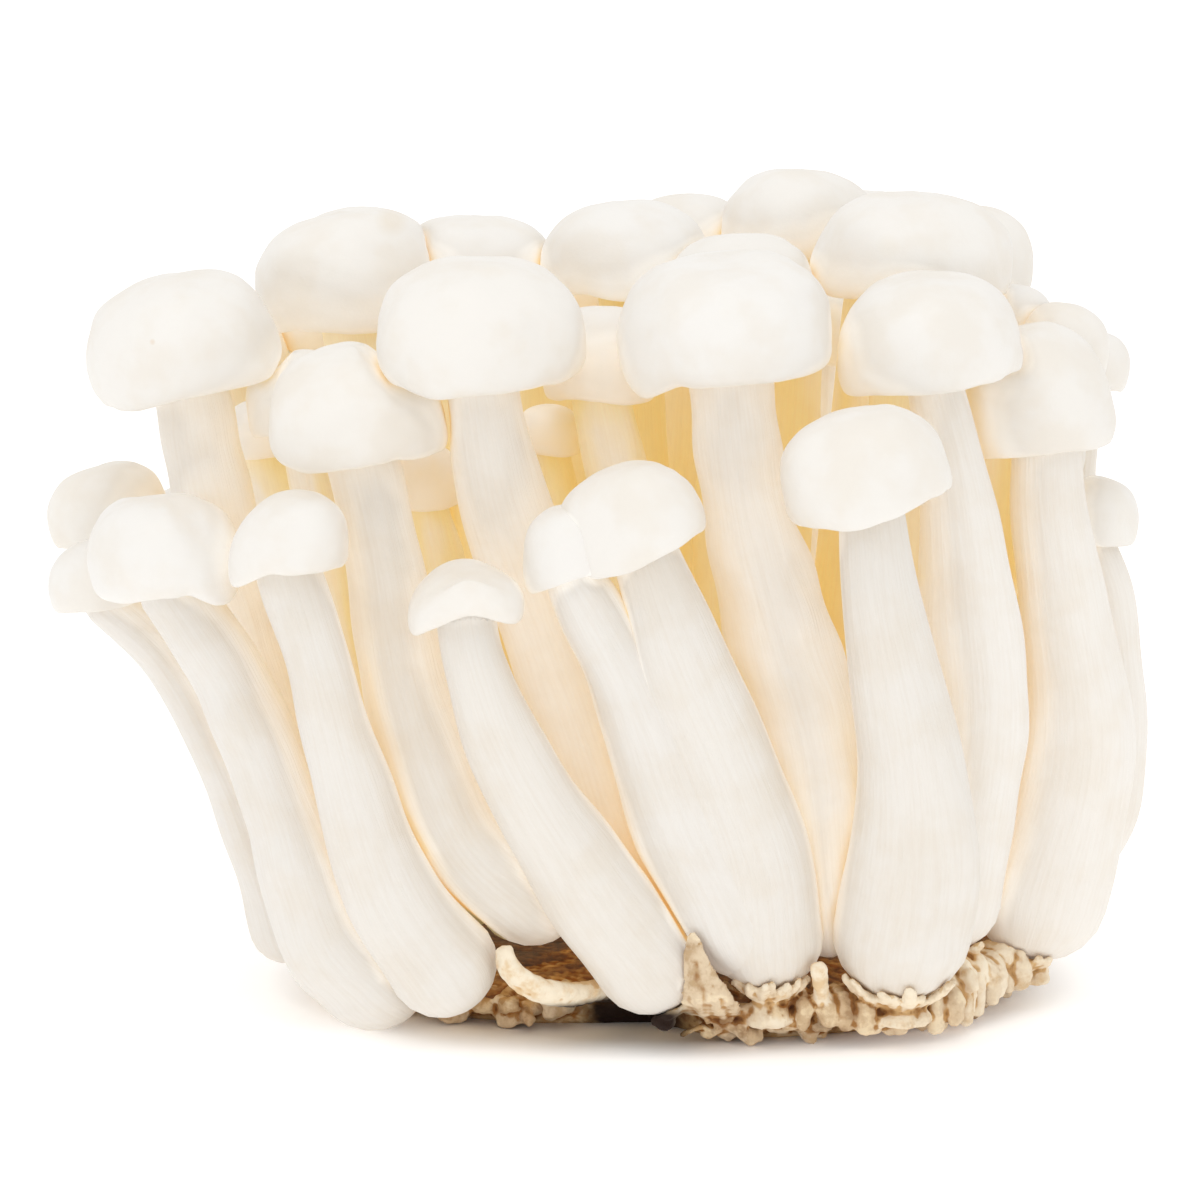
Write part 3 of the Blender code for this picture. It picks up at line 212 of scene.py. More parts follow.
# The smaller half of the front's double mushroom, grown together with mushroom_06
TWIN = {
    "twin": ((-3.0, -37.0, 50.7), 4.4, 6.6, -10, 4, 2.8,
             ((-0.9, -36.6, 46.8, 3.3), (1.8, -35.6, 41.6, 3.8), (4.2, -34.4, 35.6, 4.3),
              (7.4, -33.0, 26.3, 5.0), (13.0, -31.2, 13.9, 5.5))),
}
TWIN_OF = "mushroom_06"
MUSHROOMS = {**FRONT_ROW, **TWIN, **SECOND_ROW, **MIDDLE_ROWS, **BACK_ROW}
FINE = {*FRONT_ROW, *TWIN, *SECOND_ROW}
INNER = {*MIDDLE_ROWS, "mushroom_13", "mushroom_14", "mushroom_15"}

# Caps whose rim hangs or arches in its own way: (number of waves, share of radius, angle in degrees)
RIM_WAVES = {
    "mushroom_02": ((1, 0.10, 0), (3, 0.07, 205), (5, 0.03, 250)),
    "mushroom_03": ((1, 0.22, 175), (2, 0.08, 180)),
    "mushroom_05": ((2, 0.14, 8), (1, 0.08, 180)),
    "mushroom_06": ((1, 0.04, 230), (3, 0.05, 255)),
    "twin": ((1, 0.20, 200), (2, 0.10, 180)),
    "mushroom_11": ((1, 0.10, 10), (3, 0.06, 200)),
}
EDGE_WAVES = {
    "mushroom_06": ((2, 0.08, 150), (3, 0.04, 60)),
    "twin": ((2, 0.06, 170),),
}
# Lobes of a rim that hang (or, below zero, rise): (angle in degrees, width in degrees, share of radius)
RIM_LOBES = {
    "mushroom_02": ((316, 15, 0.10), (291, 9, -0.11)),
    "mushroom_03": ((212, 20, 0.15), (256, 13, -0.09)),
    "mushroom_04": ((238, 24, 0.05), (330, 22, -0.07), (300, 6, -0.03)),
    "mushroom_05": ((200, 15, 0.08), (272, 40, -0.52)),
    "mushroom_08": ((250, 14, 0.05), (288, 15, 0.05), (217, 9, -0.05), (316, 8, -0.05)),
    "mushroom_09": ((214, 15, 0.11), (240, 8, -0.05)),
    "mushroom_12": ((230, 22, 0.05),),
}
# Caps that keep their round form where they press on softer ones, in mm
FIRM = {"mushroom_02": 1.0, "mushroom_03": 1.2, "mushroom_04": 0.6, "mushroom_05": 1.5, "mushroom_06": 1.5,
        "twin": 1.5, "mushroom_07": 1.5, "mushroom_08": 2.2, "mushroom_09": 1.2, "mushroom_10": 1.4,
        "mushroom_11": 0.4, "mushroom_12": 1.2, "mushroom_17": 0.5, "mushroom_18": 0.4, "mushroom_20": 0.4,
        "mushroom_24": 0.8}

# Fine relief of the skins, in mm
CAP_SWELL = (0.16, 7.0)
CAP_PUCKER = (0.045, 2.6)
RIM_RIPPLE_SHARE = 0.011
RIM_RIPPLES = (4, 5, 7, 9)
STEM_SWELL = (0.16, 9.0)
STEM_STRAND = 0.035
STEM_STRANDS = (11, 17, 23, 31)
STEM_LOBES = (0.004, 0.014)
GILL_JITTER = 0.04

# How square-shouldered a dome is, where it differs: smaller is fuller
FULLNESS = {"mushroom_02": 0.72, "mushroom_03": 0.66, "mushroom_05": 0.60, "mushroom_09": 0.72,
            "mushroom_12": 0.72}

# The soft seam where the double mushroom's halves run into each other: its width outside and inside,
# the levels between which it closes, its least and greatest strength, and the step for slopes
SEAM = 5.0
SEAM_INSIDE = 2.5
SEAM_OPEN_LEVEL = 47.0
SEAM_WHOLE_LEVEL = 33.0
SEAM_LEAST = 0.2
SEAM_LIFT = 0.7
SEAM_STEP = 0.05

# Base: its middle, its reach to the side and to the front, its dents as (angle, width, depth share), its
# levels, and the rings of its edge as (inset, level); stubs stand round it by chance
BASE_MIDDLE = (8.0, -0.5)
BASE_REACH = (35.6, 28.6)
BASE_CORNER_POWER = 2.4
BASE_DENTS = ((228.0, 16.0, 0.16), (259.0, 13.0, 0.30), (150.0, 14.0, 0.08), (60.0, 12.0, 0.06))
BASE_ANGLES = 26
BASE_TOP = 5.0
BASE_EDGE_TOP = 2.7
BASE_LEAST_HEIGHT = 2.2
BASE_FOOT_MARGIN = 0.9
BASE_UNDER_RINGS = ((0.0, 2.0), (0.5, 0.9), (1.2, 0.0), (6.0, 0.0))
BASE_SKIN_ANGLES = 180
BASE_SKIN_SHARES = (0.2, 0.4, 0.6, 0.75, 0.86, 0.93, 0.97, 1.0)
STUB_COUNT = 150
STUB_SEED = 20
STUB_TRIES = 2600
STUB_CLEAR = 0.75
STUB_FRONT_SHARE = 0.2
STUB_FRONT = (250.0, 380.0)
STUB_THICK = (0.85, 1.55)
STUB_FROM_EDGE = (1.0, 2.6)
STUB_ROOT_LEVEL = (1.6, 3.6)
STUB_TURN = 0.7
STUB_LENGTH = (2.4, 4.4)
STUB_DROP = (-1.2, 3.0)
STUB_CURL = 2.2
STUB_SAMPLES = 9
STUB_SIDES = 14
STUB_RIDGE_DEPTH = 0.14
BASE_VOXEL = 0.26
BASE_FACE_SHARE = 0.5
BASE_CRINKLE = (0.06, 1.1)
CRINKLE_WAVES = 16
CRINKLE_FROM = 0.3
BASE_LIGHT_STEP = 8

# Fingers hanging side by side: from the first to the last root (x, y, z) with the level of the tips at
# both ends, their number, half width, how far they stand out, and their paleness
FINGER_ROWS = (
    (((9.6, -25.0, 4.4), (20.2, -26.4, 4.4)), (2.6, 2.2), 7, 1.00, 5.2, 0.10),
    (((20.6, -28.0, 5.6), (27.2, -28.4, 5.4)), (0.7, 0.6), 5, 1.15, 4.0, 0.35),
    (((27.0, -28.0, 5.6), (35.0, -26.0, 5.6)), (1.2, 1.0), 6, 1.05, 3.4, 0.60),
    (((28.0, -26.8, 6.4), (36.4, -23.6, 6.8)), (3.4, 3.6), 6, 0.85, 3.8, 0.85),
    (((34.8, -24.4, 6.6), (42.4, -13.8, 6.0)), (1.0, 2.2), 11, 0.90, 3.2, 0.95),
    (((36.0, -21.8, 7.2), (42.6, -12.6, 6.4)), (4.0, 4.2), 7, 0.80, 3.4, 1.00),
)
FINGER_SAMPLES = 9
FINGER_SIDES = 14
FINGER_RIDGE_DEPTH = 0.10
FINGER_LEAN = 0.9
FINGER_CURL = (-0.6, 0.9)
FINGER_TIP_SPREAD = (-0.6, 1.3)
FINGER_SIDEWAYS = 0.45

# Dry scales that hug the feet from below: the foot, the first and last direction round it in degrees
# from the front, and their number
FOOT_SCALES = (
    ("mushroom_05", 52, 84, 4),
    ("mushroom_06", -50, 84, 15),
    ("mushroom_07", -84, 66, 15),
    ("mushroom_10", -30, 40, 4),
    ("mushroom_11", -70, 2, 7),
)
SCALE_SAMPLES = 9
SCALE_SIDES = 18
SCALE_START_LEVEL = 3.0
SCALE_FIRST_TILT = -80.0
SCALE_LAST_TILT = (-60.0, -36.0)
SCALE_SWING = 0.25
SCALE_THICK = (0.75, 1.25)
SCALE_FLATNESS = (0.5, 0.7)
SCALE_RIDGE_DEPTH = 0.10
SCALE_GAP = (0.32, 0.5)
SCALE_PALE = (0.6, 0.95)

# Crumbs of the brown tongue in the middle: the corners of their box, their number and half widths
TONGUE = ((10.0, -31.4, 2.0), (20.6, -28.2, 4.9), 60, (0.55, 0.95))
CRUMB_LENGTH = (1.2, 2.2)
CRUMB_FLATNESS = (0.4, 0.9)
CRUMB_PALE = (0.0, 0.55)
CRUMB_SAMPLES = 7
CRUMB_SIDES = 12
CRUMB_RIDGE_DEPTH = 0.15
CRUMB_TWIST = 0.4

# How creases are told from ridges: rounds of smoothing, and the full range of heights in mm
FOLD_ROUNDS = 12
FOLD_DEPTH = 0.45

# The dark hollow at the front, given a painted shadow: its directions from the middle of the base, where
# nothing stands before it, the width of its soft edge in degrees and the level of its top
HOLLOW = (244.0, 274.0)
HOLLOW_EDGE = 5.0
HOLLOW_TOP = 5.4

# Width of the hairline between the growths of the base and the feet, in mm
GROWTH_CLEAR = 0.10

# Husk, flap and knob at the front, as (x, y, z, half width) with their thickness share, their paleness,
# their number of ridges and the ridges' depth share
HUSK = (((-9.8, -33.4, 11.0, 0.75), (-9.2, -33.8, 9.0, 0.95), (-6.6, -33.4, 6.9, 1.15),
         (-3.2, -31.4, 5.7, 1.25), (0.4, -27.6, 5.2, 1.15), (4.6, -20.0, 2.9, 1.0)), 1.5, 0.95, 2, 0.07)
FLAP = (((11.8, -22.0, 2.4, 2.0), (11.8, -30.6, 3.8, 2.7), (10.9, -35.2, 6.2, 2.7),
         (9.9, -36.4, 9.6, 1.7), (9.4, -36.4, 13.2, 0.7)), 0.28, 0.5, 9, 0.13)
KNOB = (((22.6, -24.0, 3.2, 1.3), (22.8, -30.4, 5.0, 1.0), (22.6, -33.6, 7.2, 0.8),
         (22.3, -34.7, 9.3, 1.0)), 1.0, 0.95, 2, 0.07)
FRONT_SAMPLES = 26
FRONT_GROWTH_SIDES = 54

# Strength of the white surroundings as light, the floor's half side in metres, and how its painted glow
# grows away from the bunch, leaving a painted shadow round it
AMBIENT = 0.94
FLOOR_HALF_SIDE = 6.0
FLOOR_EDGE = (0.98, 1.25)
FLOOR_GLOW = (0.0, 0.34)
FLOOR_DEPTH = 1000.0

# Soft lights: place and target in metres, side in metres, watts and colour
LIT_MIDDLE = (0.0, 0.0, 0.04)
KEY_LIGHT = ("key", (-0.10, -0.25, 0.90), 0.6, 1.5, (1.0, 0.995, 0.985))
FILL_LIGHT = ("fill", (0.05, -0.80, 0.20), 0.5, 0.10, (1.0, 1.0, 1.0))

# Camera: its distance and aim in metres, how far it looks down, its sensor in mm, and the photo's scale
CAMERA_AWAY = 0.520
CAMERA_AIM = (SHIFT[0] * MM, SHIFT[1] * MM, 0.0414)
CAMERA_RISE = math.radians(10.0)
SENSOR = 36.0
PHOTO_SIDE_PIXELS = 1200
METRES_PER_PIXEL = 0.000108

# How often light may bounce, in all and between pale skins: it goes many times between the stems
MOST_BOUNCES = 24
MOST_DIFFUSE_BOUNCES = 16

# How the light finds its way in: rays per point and their reach in mm
OPEN_RAYS = 36
OPEN_REACH = 45.0
OPEN_START = 0.7
OPEN_RING_STEP = 4
OPEN_SIDE_STEP = 6


# Geometry helpers

def smooth_path(points, count):
    """Points of a soft curve through the given points, each with its radius as fourth value."""
    pts = np.array(points, dtype=float)
    pts = np.vstack((2 * pts[0] - pts[1], pts, 2 * pts[-1] - pts[-2]))
    spans = len(pts) - 3
    out = []
    for value in np.linspace(0.0, spans, count):
        k = min(int(value), spans - 1)
        t = value - k
        a, b, c, d = pts[k], pts[k + 1], pts[k + 2], pts[k + 3]
        out.append(0.5 * (2 * b + (c - a) * t + (2 * a - 5 * b + 4 * c - d) * t ** 2
                          + (3 * b - a - 3 * c + d) * t ** 3))
    return np.array(out)


def even_path(points, count):
    """The same curve with points spread evenly along its length."""
    dense = smooth_path(points, 240)
    steps = np.linalg.norm(np.diff(dense[:, :3], axis=0), axis=1)
    travel = np.concatenate(([0.0], np.cumsum(steps)))
    wanted = np.linspace(0.0, travel[-1], count)
    return np.stack([np.interp(wanted, travel, dense[:, k]) for k in range(4)], axis=1)


def ripple(points, seed, wavelength, waves=9):
    """Soft bumps without a direction: a sum of plane waves, about -1 to 1."""
    rng = random.Random(seed)
    total = np.zeros(len(points))
    for _ in range(waves):
        heading = np.array([rng.gauss(0, 1) for _ in range(3)])
        heading /= np.linalg.norm(heading)
        pitch = 2 * math.pi / (wavelength * rng.uniform(0.7, 1.5))
        total += np.sin(points @ heading * pitch + rng.uniform(0, 2 * math.pi))
    return total / math.sqrt(waves)


def cap_frame(lean_right, lean_front):
    """Two level directions and the axis of a cap that leans by the given degrees."""
    axis = Vector((math.tan(math.radians(lean_right)), -math.tan(math.radians(lean_front)), 1.0))
    axis.normalize()
    side = (Vector((1.0, 0.0, 0.0)) - axis * axis.x).normalized()
    return side, axis.cross(side), axis


def dome_outline(radius, height, angles, fullness):
    """Radius and level of the dome from the top down to its widest ring."""
    out = []
    for angle in angles:
        turn = math.radians(angle)
        level = height * (RIM_LEVEL + (1 - RIM_LEVEL) * max(math.cos(turn), 0.0) ** DOME_HEIGHT_POWER)
        out.append((radius * math.sin(turn) ** fullness, level))
    return out


def outline_distance(points, outline):
    """Signed distance of flat points from a closed outline."""
    start = outline
    end = np.roll(outline, -1, axis=0)
    edge = end - start
    away = points[:, None, :] - start[None]
    share = (away * edge).sum(axis=2) / np.maximum((edge ** 2).sum(axis=1), 1e-12)
    near = away - edge[None] * np.clip(share, 0.0, 1.0)[..., None]
    best = np.sqrt((near ** 2).sum(axis=2).min(axis=1))
    crosses = (start[None, :, 1] > points[:, None, 1]) != (end[None, :, 1] > points[:, None, 1])
    rise = np.where(np.abs(edge[:, 1]) < 1e-9, 1e-9, edge[:, 1])
    at = start[:, 0] + (points[:, None, 1] - start[:, 1]) * edge[:, 0] / rise
    inside = (crosses & (points[:, None, 0] < at)).sum(axis=1) % 2 == 1
    return np.where(inside, -best, best)


class Mushroom:
    """One mushroom: its measures, and how far any point is from its surface."""

    def __init__(self, name, row):
        seat, self.radius, self.height, lean_right, lean_front, self.neck, below = row
        self.name = name
        self.seat = np.array(seat)
        side, front, axis = cap_frame(lean_right, lean_front)
        self.frame = np.array([side, front, axis])
        inside = self.seat + NECK_INSIDE * self.height * self.frame[2]
        self.line = ((*inside, self.neck), (*seat, self.neck)) + tuple(below)
        whole = even_path(self.line, 60)
        length = np.linalg.norm(np.diff(whole[:, :3], axis=0), axis=1).sum()
        self.beads = even_path(self.line, int(length / SAMPLE_STEP))
        rng = random.Random(name)
        own_rim = tuple((k, rng.uniform(*OWN_RIM_WAVES), rng.uniform(0, 360)) for k in (2, 3))
        own_edge = tuple((k, rng.uniform(*OWN_EDGE_WAVES), rng.uniform(0, 360)) for k in (2, 3))
        self.rim_waves = RIM_WAVES.get(name, own_rim)
        self.edge_waves = EDGE_WAVES.get(name, own_edge)
        self.lobes = RIM_LOBES.get(name, ())
        self.firm = FIRM.get(name, 0.0)
        self.fullness = FULLNESS.get(name, DOME_WIDTH_POWER)
        self.outline = self.cap_outline()
        points = np.vstack((self.beads[:, :3], self.seat + self.frame[2] * self.height * 0.5))
        self.low = points.min(axis=0) - self.radius - BOX_MARGIN
        self.high = points.max(axis=0) + self.radius + BOX_MARGIN

    def cap_outline(self):
        """Outline of the cap in (radius, level), from the axis at the top round to the axis below."""
        r, h = self.radius, self.height
        dome = dome_outline(r, h, range(OUTLINE_STEP, 91, OUTLINE_STEP), self.fullness)
        below = [(wide * r, level * h) for wide, level in OUTLINE_BELOW]
        return np.array([(0.0, h)] + dome + [(r, RIM_LEVEL * h)] + below)

    def rim_drop(self, angle):
        return -self.radius * sum(s * np.cos(k * (angle - math.radians(a))) for k, s, a in self.rim_waves)

    def lobe_drop(self, angle):
        """How far the local lobes move the rim at these angles."""
        total = 0.0 * angle
        for middle, width, share in self.lobes:
            off = (np.degrees(angle) - middle + 180.0) % 360.0 - 180.0
            total = total - share * self.radius * np.exp(-(off / width) ** 2)
        return total

    def edge_scale(self, angle):
        return 1.0 + sum(s * np.cos(k * (angle - math.radians(a))) for k, s, a in self.edge_waves)

    def place(self, radius, level, angle):
        """World point of a cap point given in the cap's own radius, level and angle."""
        share = (radius / self.radius) ** 2
        level = level + self.rim_drop(angle) * share + self.lobe_drop(angle) * share ** 3
        radius = radius * self.edge_scale(angle)
        local = np.stack([radius * np.cos(angle), radius * np.sin(angle), level], axis=-1)
        return self.seat + local @ self.frame

    def distance(self, points):
        """Signed distance of each point from the mushroom, negative inside, with its cap's firmness."""
        gaps = points[:, None, :] - self.beads[None, :, :3]
        stem = (np.sqrt((gaps ** 2).sum(axis=2)) - self.beads[None, :, 3]).min(axis=1)
        local = (points - self.seat) @ self.frame.T
        angle = np.arctan2(local[:, 1], local[:, 0])
        radius = np.hypot(local[:, 0], local[:, 1]) / self.edge_scale(angle)
        share = np.minimum(radius / self.radius, 1.2) ** 2
        drop = self.rim_drop(angle) * share + self.lobe_drop(angle) * share ** 3
        flat = np.stack([radius, local[:, 2] - drop], axis=1)
        return np.minimum(stem, outline_distance(flat, self.outline) - self.firm)

    def distance_near(self, points, best):
        """The smaller of best and the distance, worked out only inside the mushroom's box."""
        near = ((points > self.low) & (points < self.high)).all(axis=1)
        if near.any():
            best[near] = np.minimum(best[near], self.distance(points[near]))
        return best


def grown_together(first, second):
    return {first, second} == {TWIN_OF, *TWIN}


def partners_of(one, everyone):
    """The mushrooms that this one has grown together with."""
    return [other for other in everyone if other is not one and grown_together(one.name, other.name)]


def neighbours_of(one, everyone):
    """The mushrooms whose boxes reach the box of this one."""
    return [other for other in everyone
            if other is not one and not grown_together(one.name, other.name)
            and (other.low < one.high).all() and (one.low < other.high).all()]


def slope(one, points):
    """Direction in which the distance from a mushroom grows, at each point."""
    steps = SEAM_STEP * np.eye(3)
    grown = [one.distance(points + step) - one.distance(points - step) for step in steps]
    grown = np.stack(grown, axis=1)
    return grown / np.maximum(np.linalg.norm(grown, axis=1), 1e-9)[:, None]


def melt_seam(one, partner, points):
    """Swells the points near a mushroom's partner, so that the two run softly into each other."""
    away = partner.distance(points) + partner.firm
    share = np.clip(1.0 - np.abs(away) / SEAM, 0.0, 1.0) * np.clip(1.0 + away / SEAM_INSIDE, 0.0, 1.0)
    near = np.flatnonzero(share > 0.0)
    lean = 0.5 * share[near, None]
    push = (1.0 - lean) * slope(one, points[near]) + lean * slope(partner, points[near])
    depth = (SEAM_OPEN_LEVEL - points[near, 2]) / (SEAM_OPEN_LEVEL - SEAM_WHOLE_LEVEL)
    whole = np.clip(depth, SEAM_LEAST, 1.0)
    push /= np.maximum((push ** 2).sum(axis=1), 1.0 - SEAM_LIFT * whole)[:, None]
    out = points.copy()
    out[near] += push * (0.25 * SEAM * whole * share[near] ** 2)[:, None]
    return out


def soften(share):
    """A grid of pulls smoothed along and across the rings, never weaker than it was."""
    for _ in range(SMOOTH_PULL_ROUNDS):
        across = 0.5 * share + 0.25 * (np.roll(share, 1, axis=1) + np.roll(share, -1, axis=1))
        padded = np.vstack((across[:1], across, across[-1:]))
        share = np.minimum(share, 0.5 * across + 0.25 * (padded[:-2] + padded[2:]))
    return share


def press_in(one, neighbours, ground, points, anchors):
    """How far out from its anchor each point may stay, so that it is nearer to its own mushroom."""
    def fits(trial):
        other = ground.height_above(trial)
        for neighbour in neighbours:
            other = neighbour.distance_near(trial, other)
        return one.distance(trial) <= other - CLEAR

    share = np.ones(len(points))
    bad = np.flatnonzero(~fits(points))
    low = np.full(len(bad), LEAST_PULL)
    high = np.ones(len(bad))
    start = anchors[bad]
    reach = points[bad] - start
    for _ in range(PULL_STEPS):
        middle = 0.5 * (low + high)
        fine = fits(start + reach * middle[:, None])
        low = np.where(fine, middle, low)
        high = np.where(fine, high, middle)
    share[bad] = low
    return share


# One mushroom's skin as a grid of rings

def cap_rings(one, sides, turn):
    """Rings of the dome, the rolled-in rim and the gills, with the anchor and kind of each ring."""
    r, h = one.radius, one.height
    rng = random.Random("rim " + one.name)
    rim_ripple = sum(rng.uniform(0.3, 1.0) * np.cos(k * turn + rng.uniform(0, 6.3)) for k in RIM_RIPPLES)
    rows = dome_outline(r, h, np.arange(DOME_STEP, 90.01, DOME_STEP), one.fullness)
    rows += [(a * r, b * h) for a, b in RIM_PROFILE]
    rings = []
    kinds = []
    for radius, level in rows:
        near_rim = (radius / r) ** 8
        shift = -RIM_RIPPLE_SHARE * r * rim_ripple * near_rim
        rings.append(one.place(np.full(sides, radius), np.full(sides, level) + shift, turn))
        kinds.append(0.0)
    crest = np.arange(sides) % 2 == 0
    inner_radius = GILL_INNER_RADIUS * one.neck
    jitter = np.array([rng.uniform(-GILL_JITTER, GILL_JITTER) for _ in range(sides)]) * h
    for k in range(GILL_RINGS):
        t = k / (GILL_RINGS - 1)
        radius = (GILL_OUTER_RADIUS * r) * (1 - t) + inner_radius * t
        top = GILL_CREST_LEVEL + (GILL_INNER_LEVEL - GILL_CREST_LEVEL) * t
        deep = GILL_TROUGH_LEVEL + (GILL_INNER_TROUGH_LEVEL - GILL_TROUGH_LEVEL) * t
        shallow = min(1.0, 0.45 + 2.4 * t)
        level = np.where(crest, top, top + (deep - top) * shallow) * h + jitter * math.sin(math.pi * t)
        rings.append(one.place(np.full(sides, radius), level, turn))
        kinds.append(2.0)
    core = one.seat + one.frame[2] * h * 0.5
    points = np.array(rings)
    dome = np.array([k == 0.0 for k in kinds])
    flat = points[dome].reshape(-1, 3)
    outward = flat - core
    outward /= np.linalg.norm(outward, axis=1)[:, None]
    swell = CAP_SWELL[0] * ripple(flat, "swell " + one.name, CAP_SWELL[1])
    swell += CAP_PUCKER[0] * ripple(flat, "pucker " + one.name, CAP_PUCKER[1])
    points[dome] = (flat + outward * (swell * min(1.0, r / 8.0))[:, None]).reshape(-1, sides, 3)
    anchors = np.broadcast_to(core, points.shape).copy()
    top = one.place(np.zeros(1), np.full(1, h), np.zeros(1))[0]
    return top, points, anchors, kinds


def stem_rings(one, sides, turn, count):
    """Rings down the stem to the rounded foot, with fine lengthwise strands."""
    path = even_path(one.line, 600)
    seat_index = int(np.argmin(np.linalg.norm(path[:, :3] - one.seat, axis=1)))
    path = path[seat_index:]
    travel = np.concatenate(([0.0], np.cumsum(np.linalg.norm(np.diff(path[:, :3], axis=0), axis=1))))
    picks = np.linspace(0, len(path) - 1, count).astype(int)
    rng = random.Random("stem " + one.name)
    lobes = sum(rng.uniform(*STEM_LOBES) * np.cos(k * turn + rng.uniform(0, 6.3)) for k in (2, 3, 4))
    strands = [(k, rng.uniform(0, 6.3), rng.uniform(-0.05, 0.05)) for k in STEM_STRANDS]
    side = Vector(one.frame[0])
    rings = []
    anchors = []
    along = []
    for number, index in enumerate(picks):
        ahead = path[min(index + 2, len(path) - 1), :3] - path[max(index - 2, 0), :3]
        down = Vector(ahead).normalized()
        side = (side - down * side.dot(down)).normalized()
        front = side.cross(down)
        centre = path[index, :3]
        waves = [np.cos(k * turn + phase + drift * travel[index]) for k, phase, drift in strands]
        fine = sum(waves) / len(waves)
        radius = path[index, 3] * (1 + lobes) + STEM_STRAND * fine
        direction = np.outer(np.cos(turn), side) + np.outer(np.sin(turn), front)
        ring = centre + radius[:, None] * direction
        if number > 0:
            ring += direction * (STEM_SWELL[0] * ripple(ring, "wave " + one.name, STEM_SWELL[1]))[:, None]
        else:
            ring += one.frame[2] * GILL_INNER_LEVEL * one.height
        rings.append(ring)
        anchors.append(np.broadcast_to(centre, ring.shape))
        along.append(travel[index])
    foot = path[-1, 3]
    centre = path[-1, :3]
    last = rings[-1] - centre
    for degrees in FOOT_ANGLES:
        bend = math.radians(degrees)
        rings.append(centre + np.array(down) * foot * math.sin(bend) + last * math.cos(bend))
        anchors.append(np.broadcast_to(centre, rings[-1].shape))
        along.append(travel[-1] + foot * bend)
    return np.array(rings), np.array(anchors), along, centre + np.array(down) * foot


def open_share(tree, points, normals, seed):
    """Share of the light that reaches each point, from rays sent over its half of the sky."""
    rng = random.Random(seed)
    rays = []
    for k in range(OPEN_RAYS):
        height = math.sqrt(1.0 - (k + 0.5) / OPEN_RAYS)
        spread = math.sqrt(1.0 - height * height)
        turn = k * math.pi * (3.0 - math.sqrt(5.0)) + rng.uniform(0, 0.2)
        rays.append((spread * math.cos(turn), spread * math.sin(turn), height))
    rays = np.array(rays)
    out = np.zeros(len(points))
    for k, (point, normal) in enumerate(zip(points, normals)):
        up = Vector(normal)
        first = up.orthogonal().normalized()
        basis = np.array([first, up.cross(first), up])
        start = Vector(point + normal * OPEN_START)
        free = 0
        for ray in rays @ basis:
            if tree.ray_cast(start, Vector(ray), OPEN_REACH)[0] is None:
                free += 1
        out[k] = free / OPEN_RAYS
    return out


def grid_normals(points):
    """Outward normals of a grid of rings."""
    along = np.gradient(points, axis=0)
    across = np.roll(points, -1, axis=1) - np.roll(points, 1, axis=1)
    normals = np.cross(along, across)
    length = np.linalg.norm(normals, axis=2)
    return normals / np.maximum(length, 1e-9)[..., None]


def spread_grid(coarse, ring_at, side_at, rings, sides):
    """A coarse grid of values brought to every ring and side, wrapping round the ring."""
    wrapped = np.hstack((coarse, coarse[:, :1]))
    side_at = np.append(side_at, sides)
    wide = np.array([np.interp(np.arange(sides), side_at, row) for row in wrapped])
    return np.array([np.interp(np.arange(rings), ring_at, wide[:, k]) for k in range(sides)]).T


# Meshes

def add_mesh(name, points, faces, material, values):
    """A smooth mesh object in metres, with one float or vector value per point for each name."""
    mesh = bpy.data.meshes.new(name)
    mesh.from_pydata(((points + SHIFT) * MM).tolist(), [], faces)
    for key, data in values.items():
        vector = data.ndim == 2
        layer = mesh.attributes.new(key, "FLOAT_VECTOR" if vector else "FLOAT", "POINT")
        layer.data.foreach_set("vector" if vector else "value", data.astype(np.float32).ravel())
    mesh.polygons.foreach_set("use_smooth", [True] * len(mesh.polygons))
    mesh.materials.append(material)
    made = bpy.data.objects.new(name, mesh)
    bpy.context.scene.collection.objects.link(made)
    return made


def skin_faces(rings, sides):
    """Faces of a closed skin over a grid of rings, with point 0 on top and the last point below."""
    faces = [(0, 1 + k, 1 + (k + 1) % sides) for k in range(sides)]
    for j in range(rings - 1):
        a = 1 + j * sides
        b = a + sides
        for k in range(sides):
            n = (k + 1) % sides
            faces.append((a + k, b + k, b + n, a + n))
    a = 1 + (rings - 1) * sides
    end = 1 + rings * sides
    faces += [(a + (k + 1) % sides, a + k, end) for k in range(sides)]
    return faces


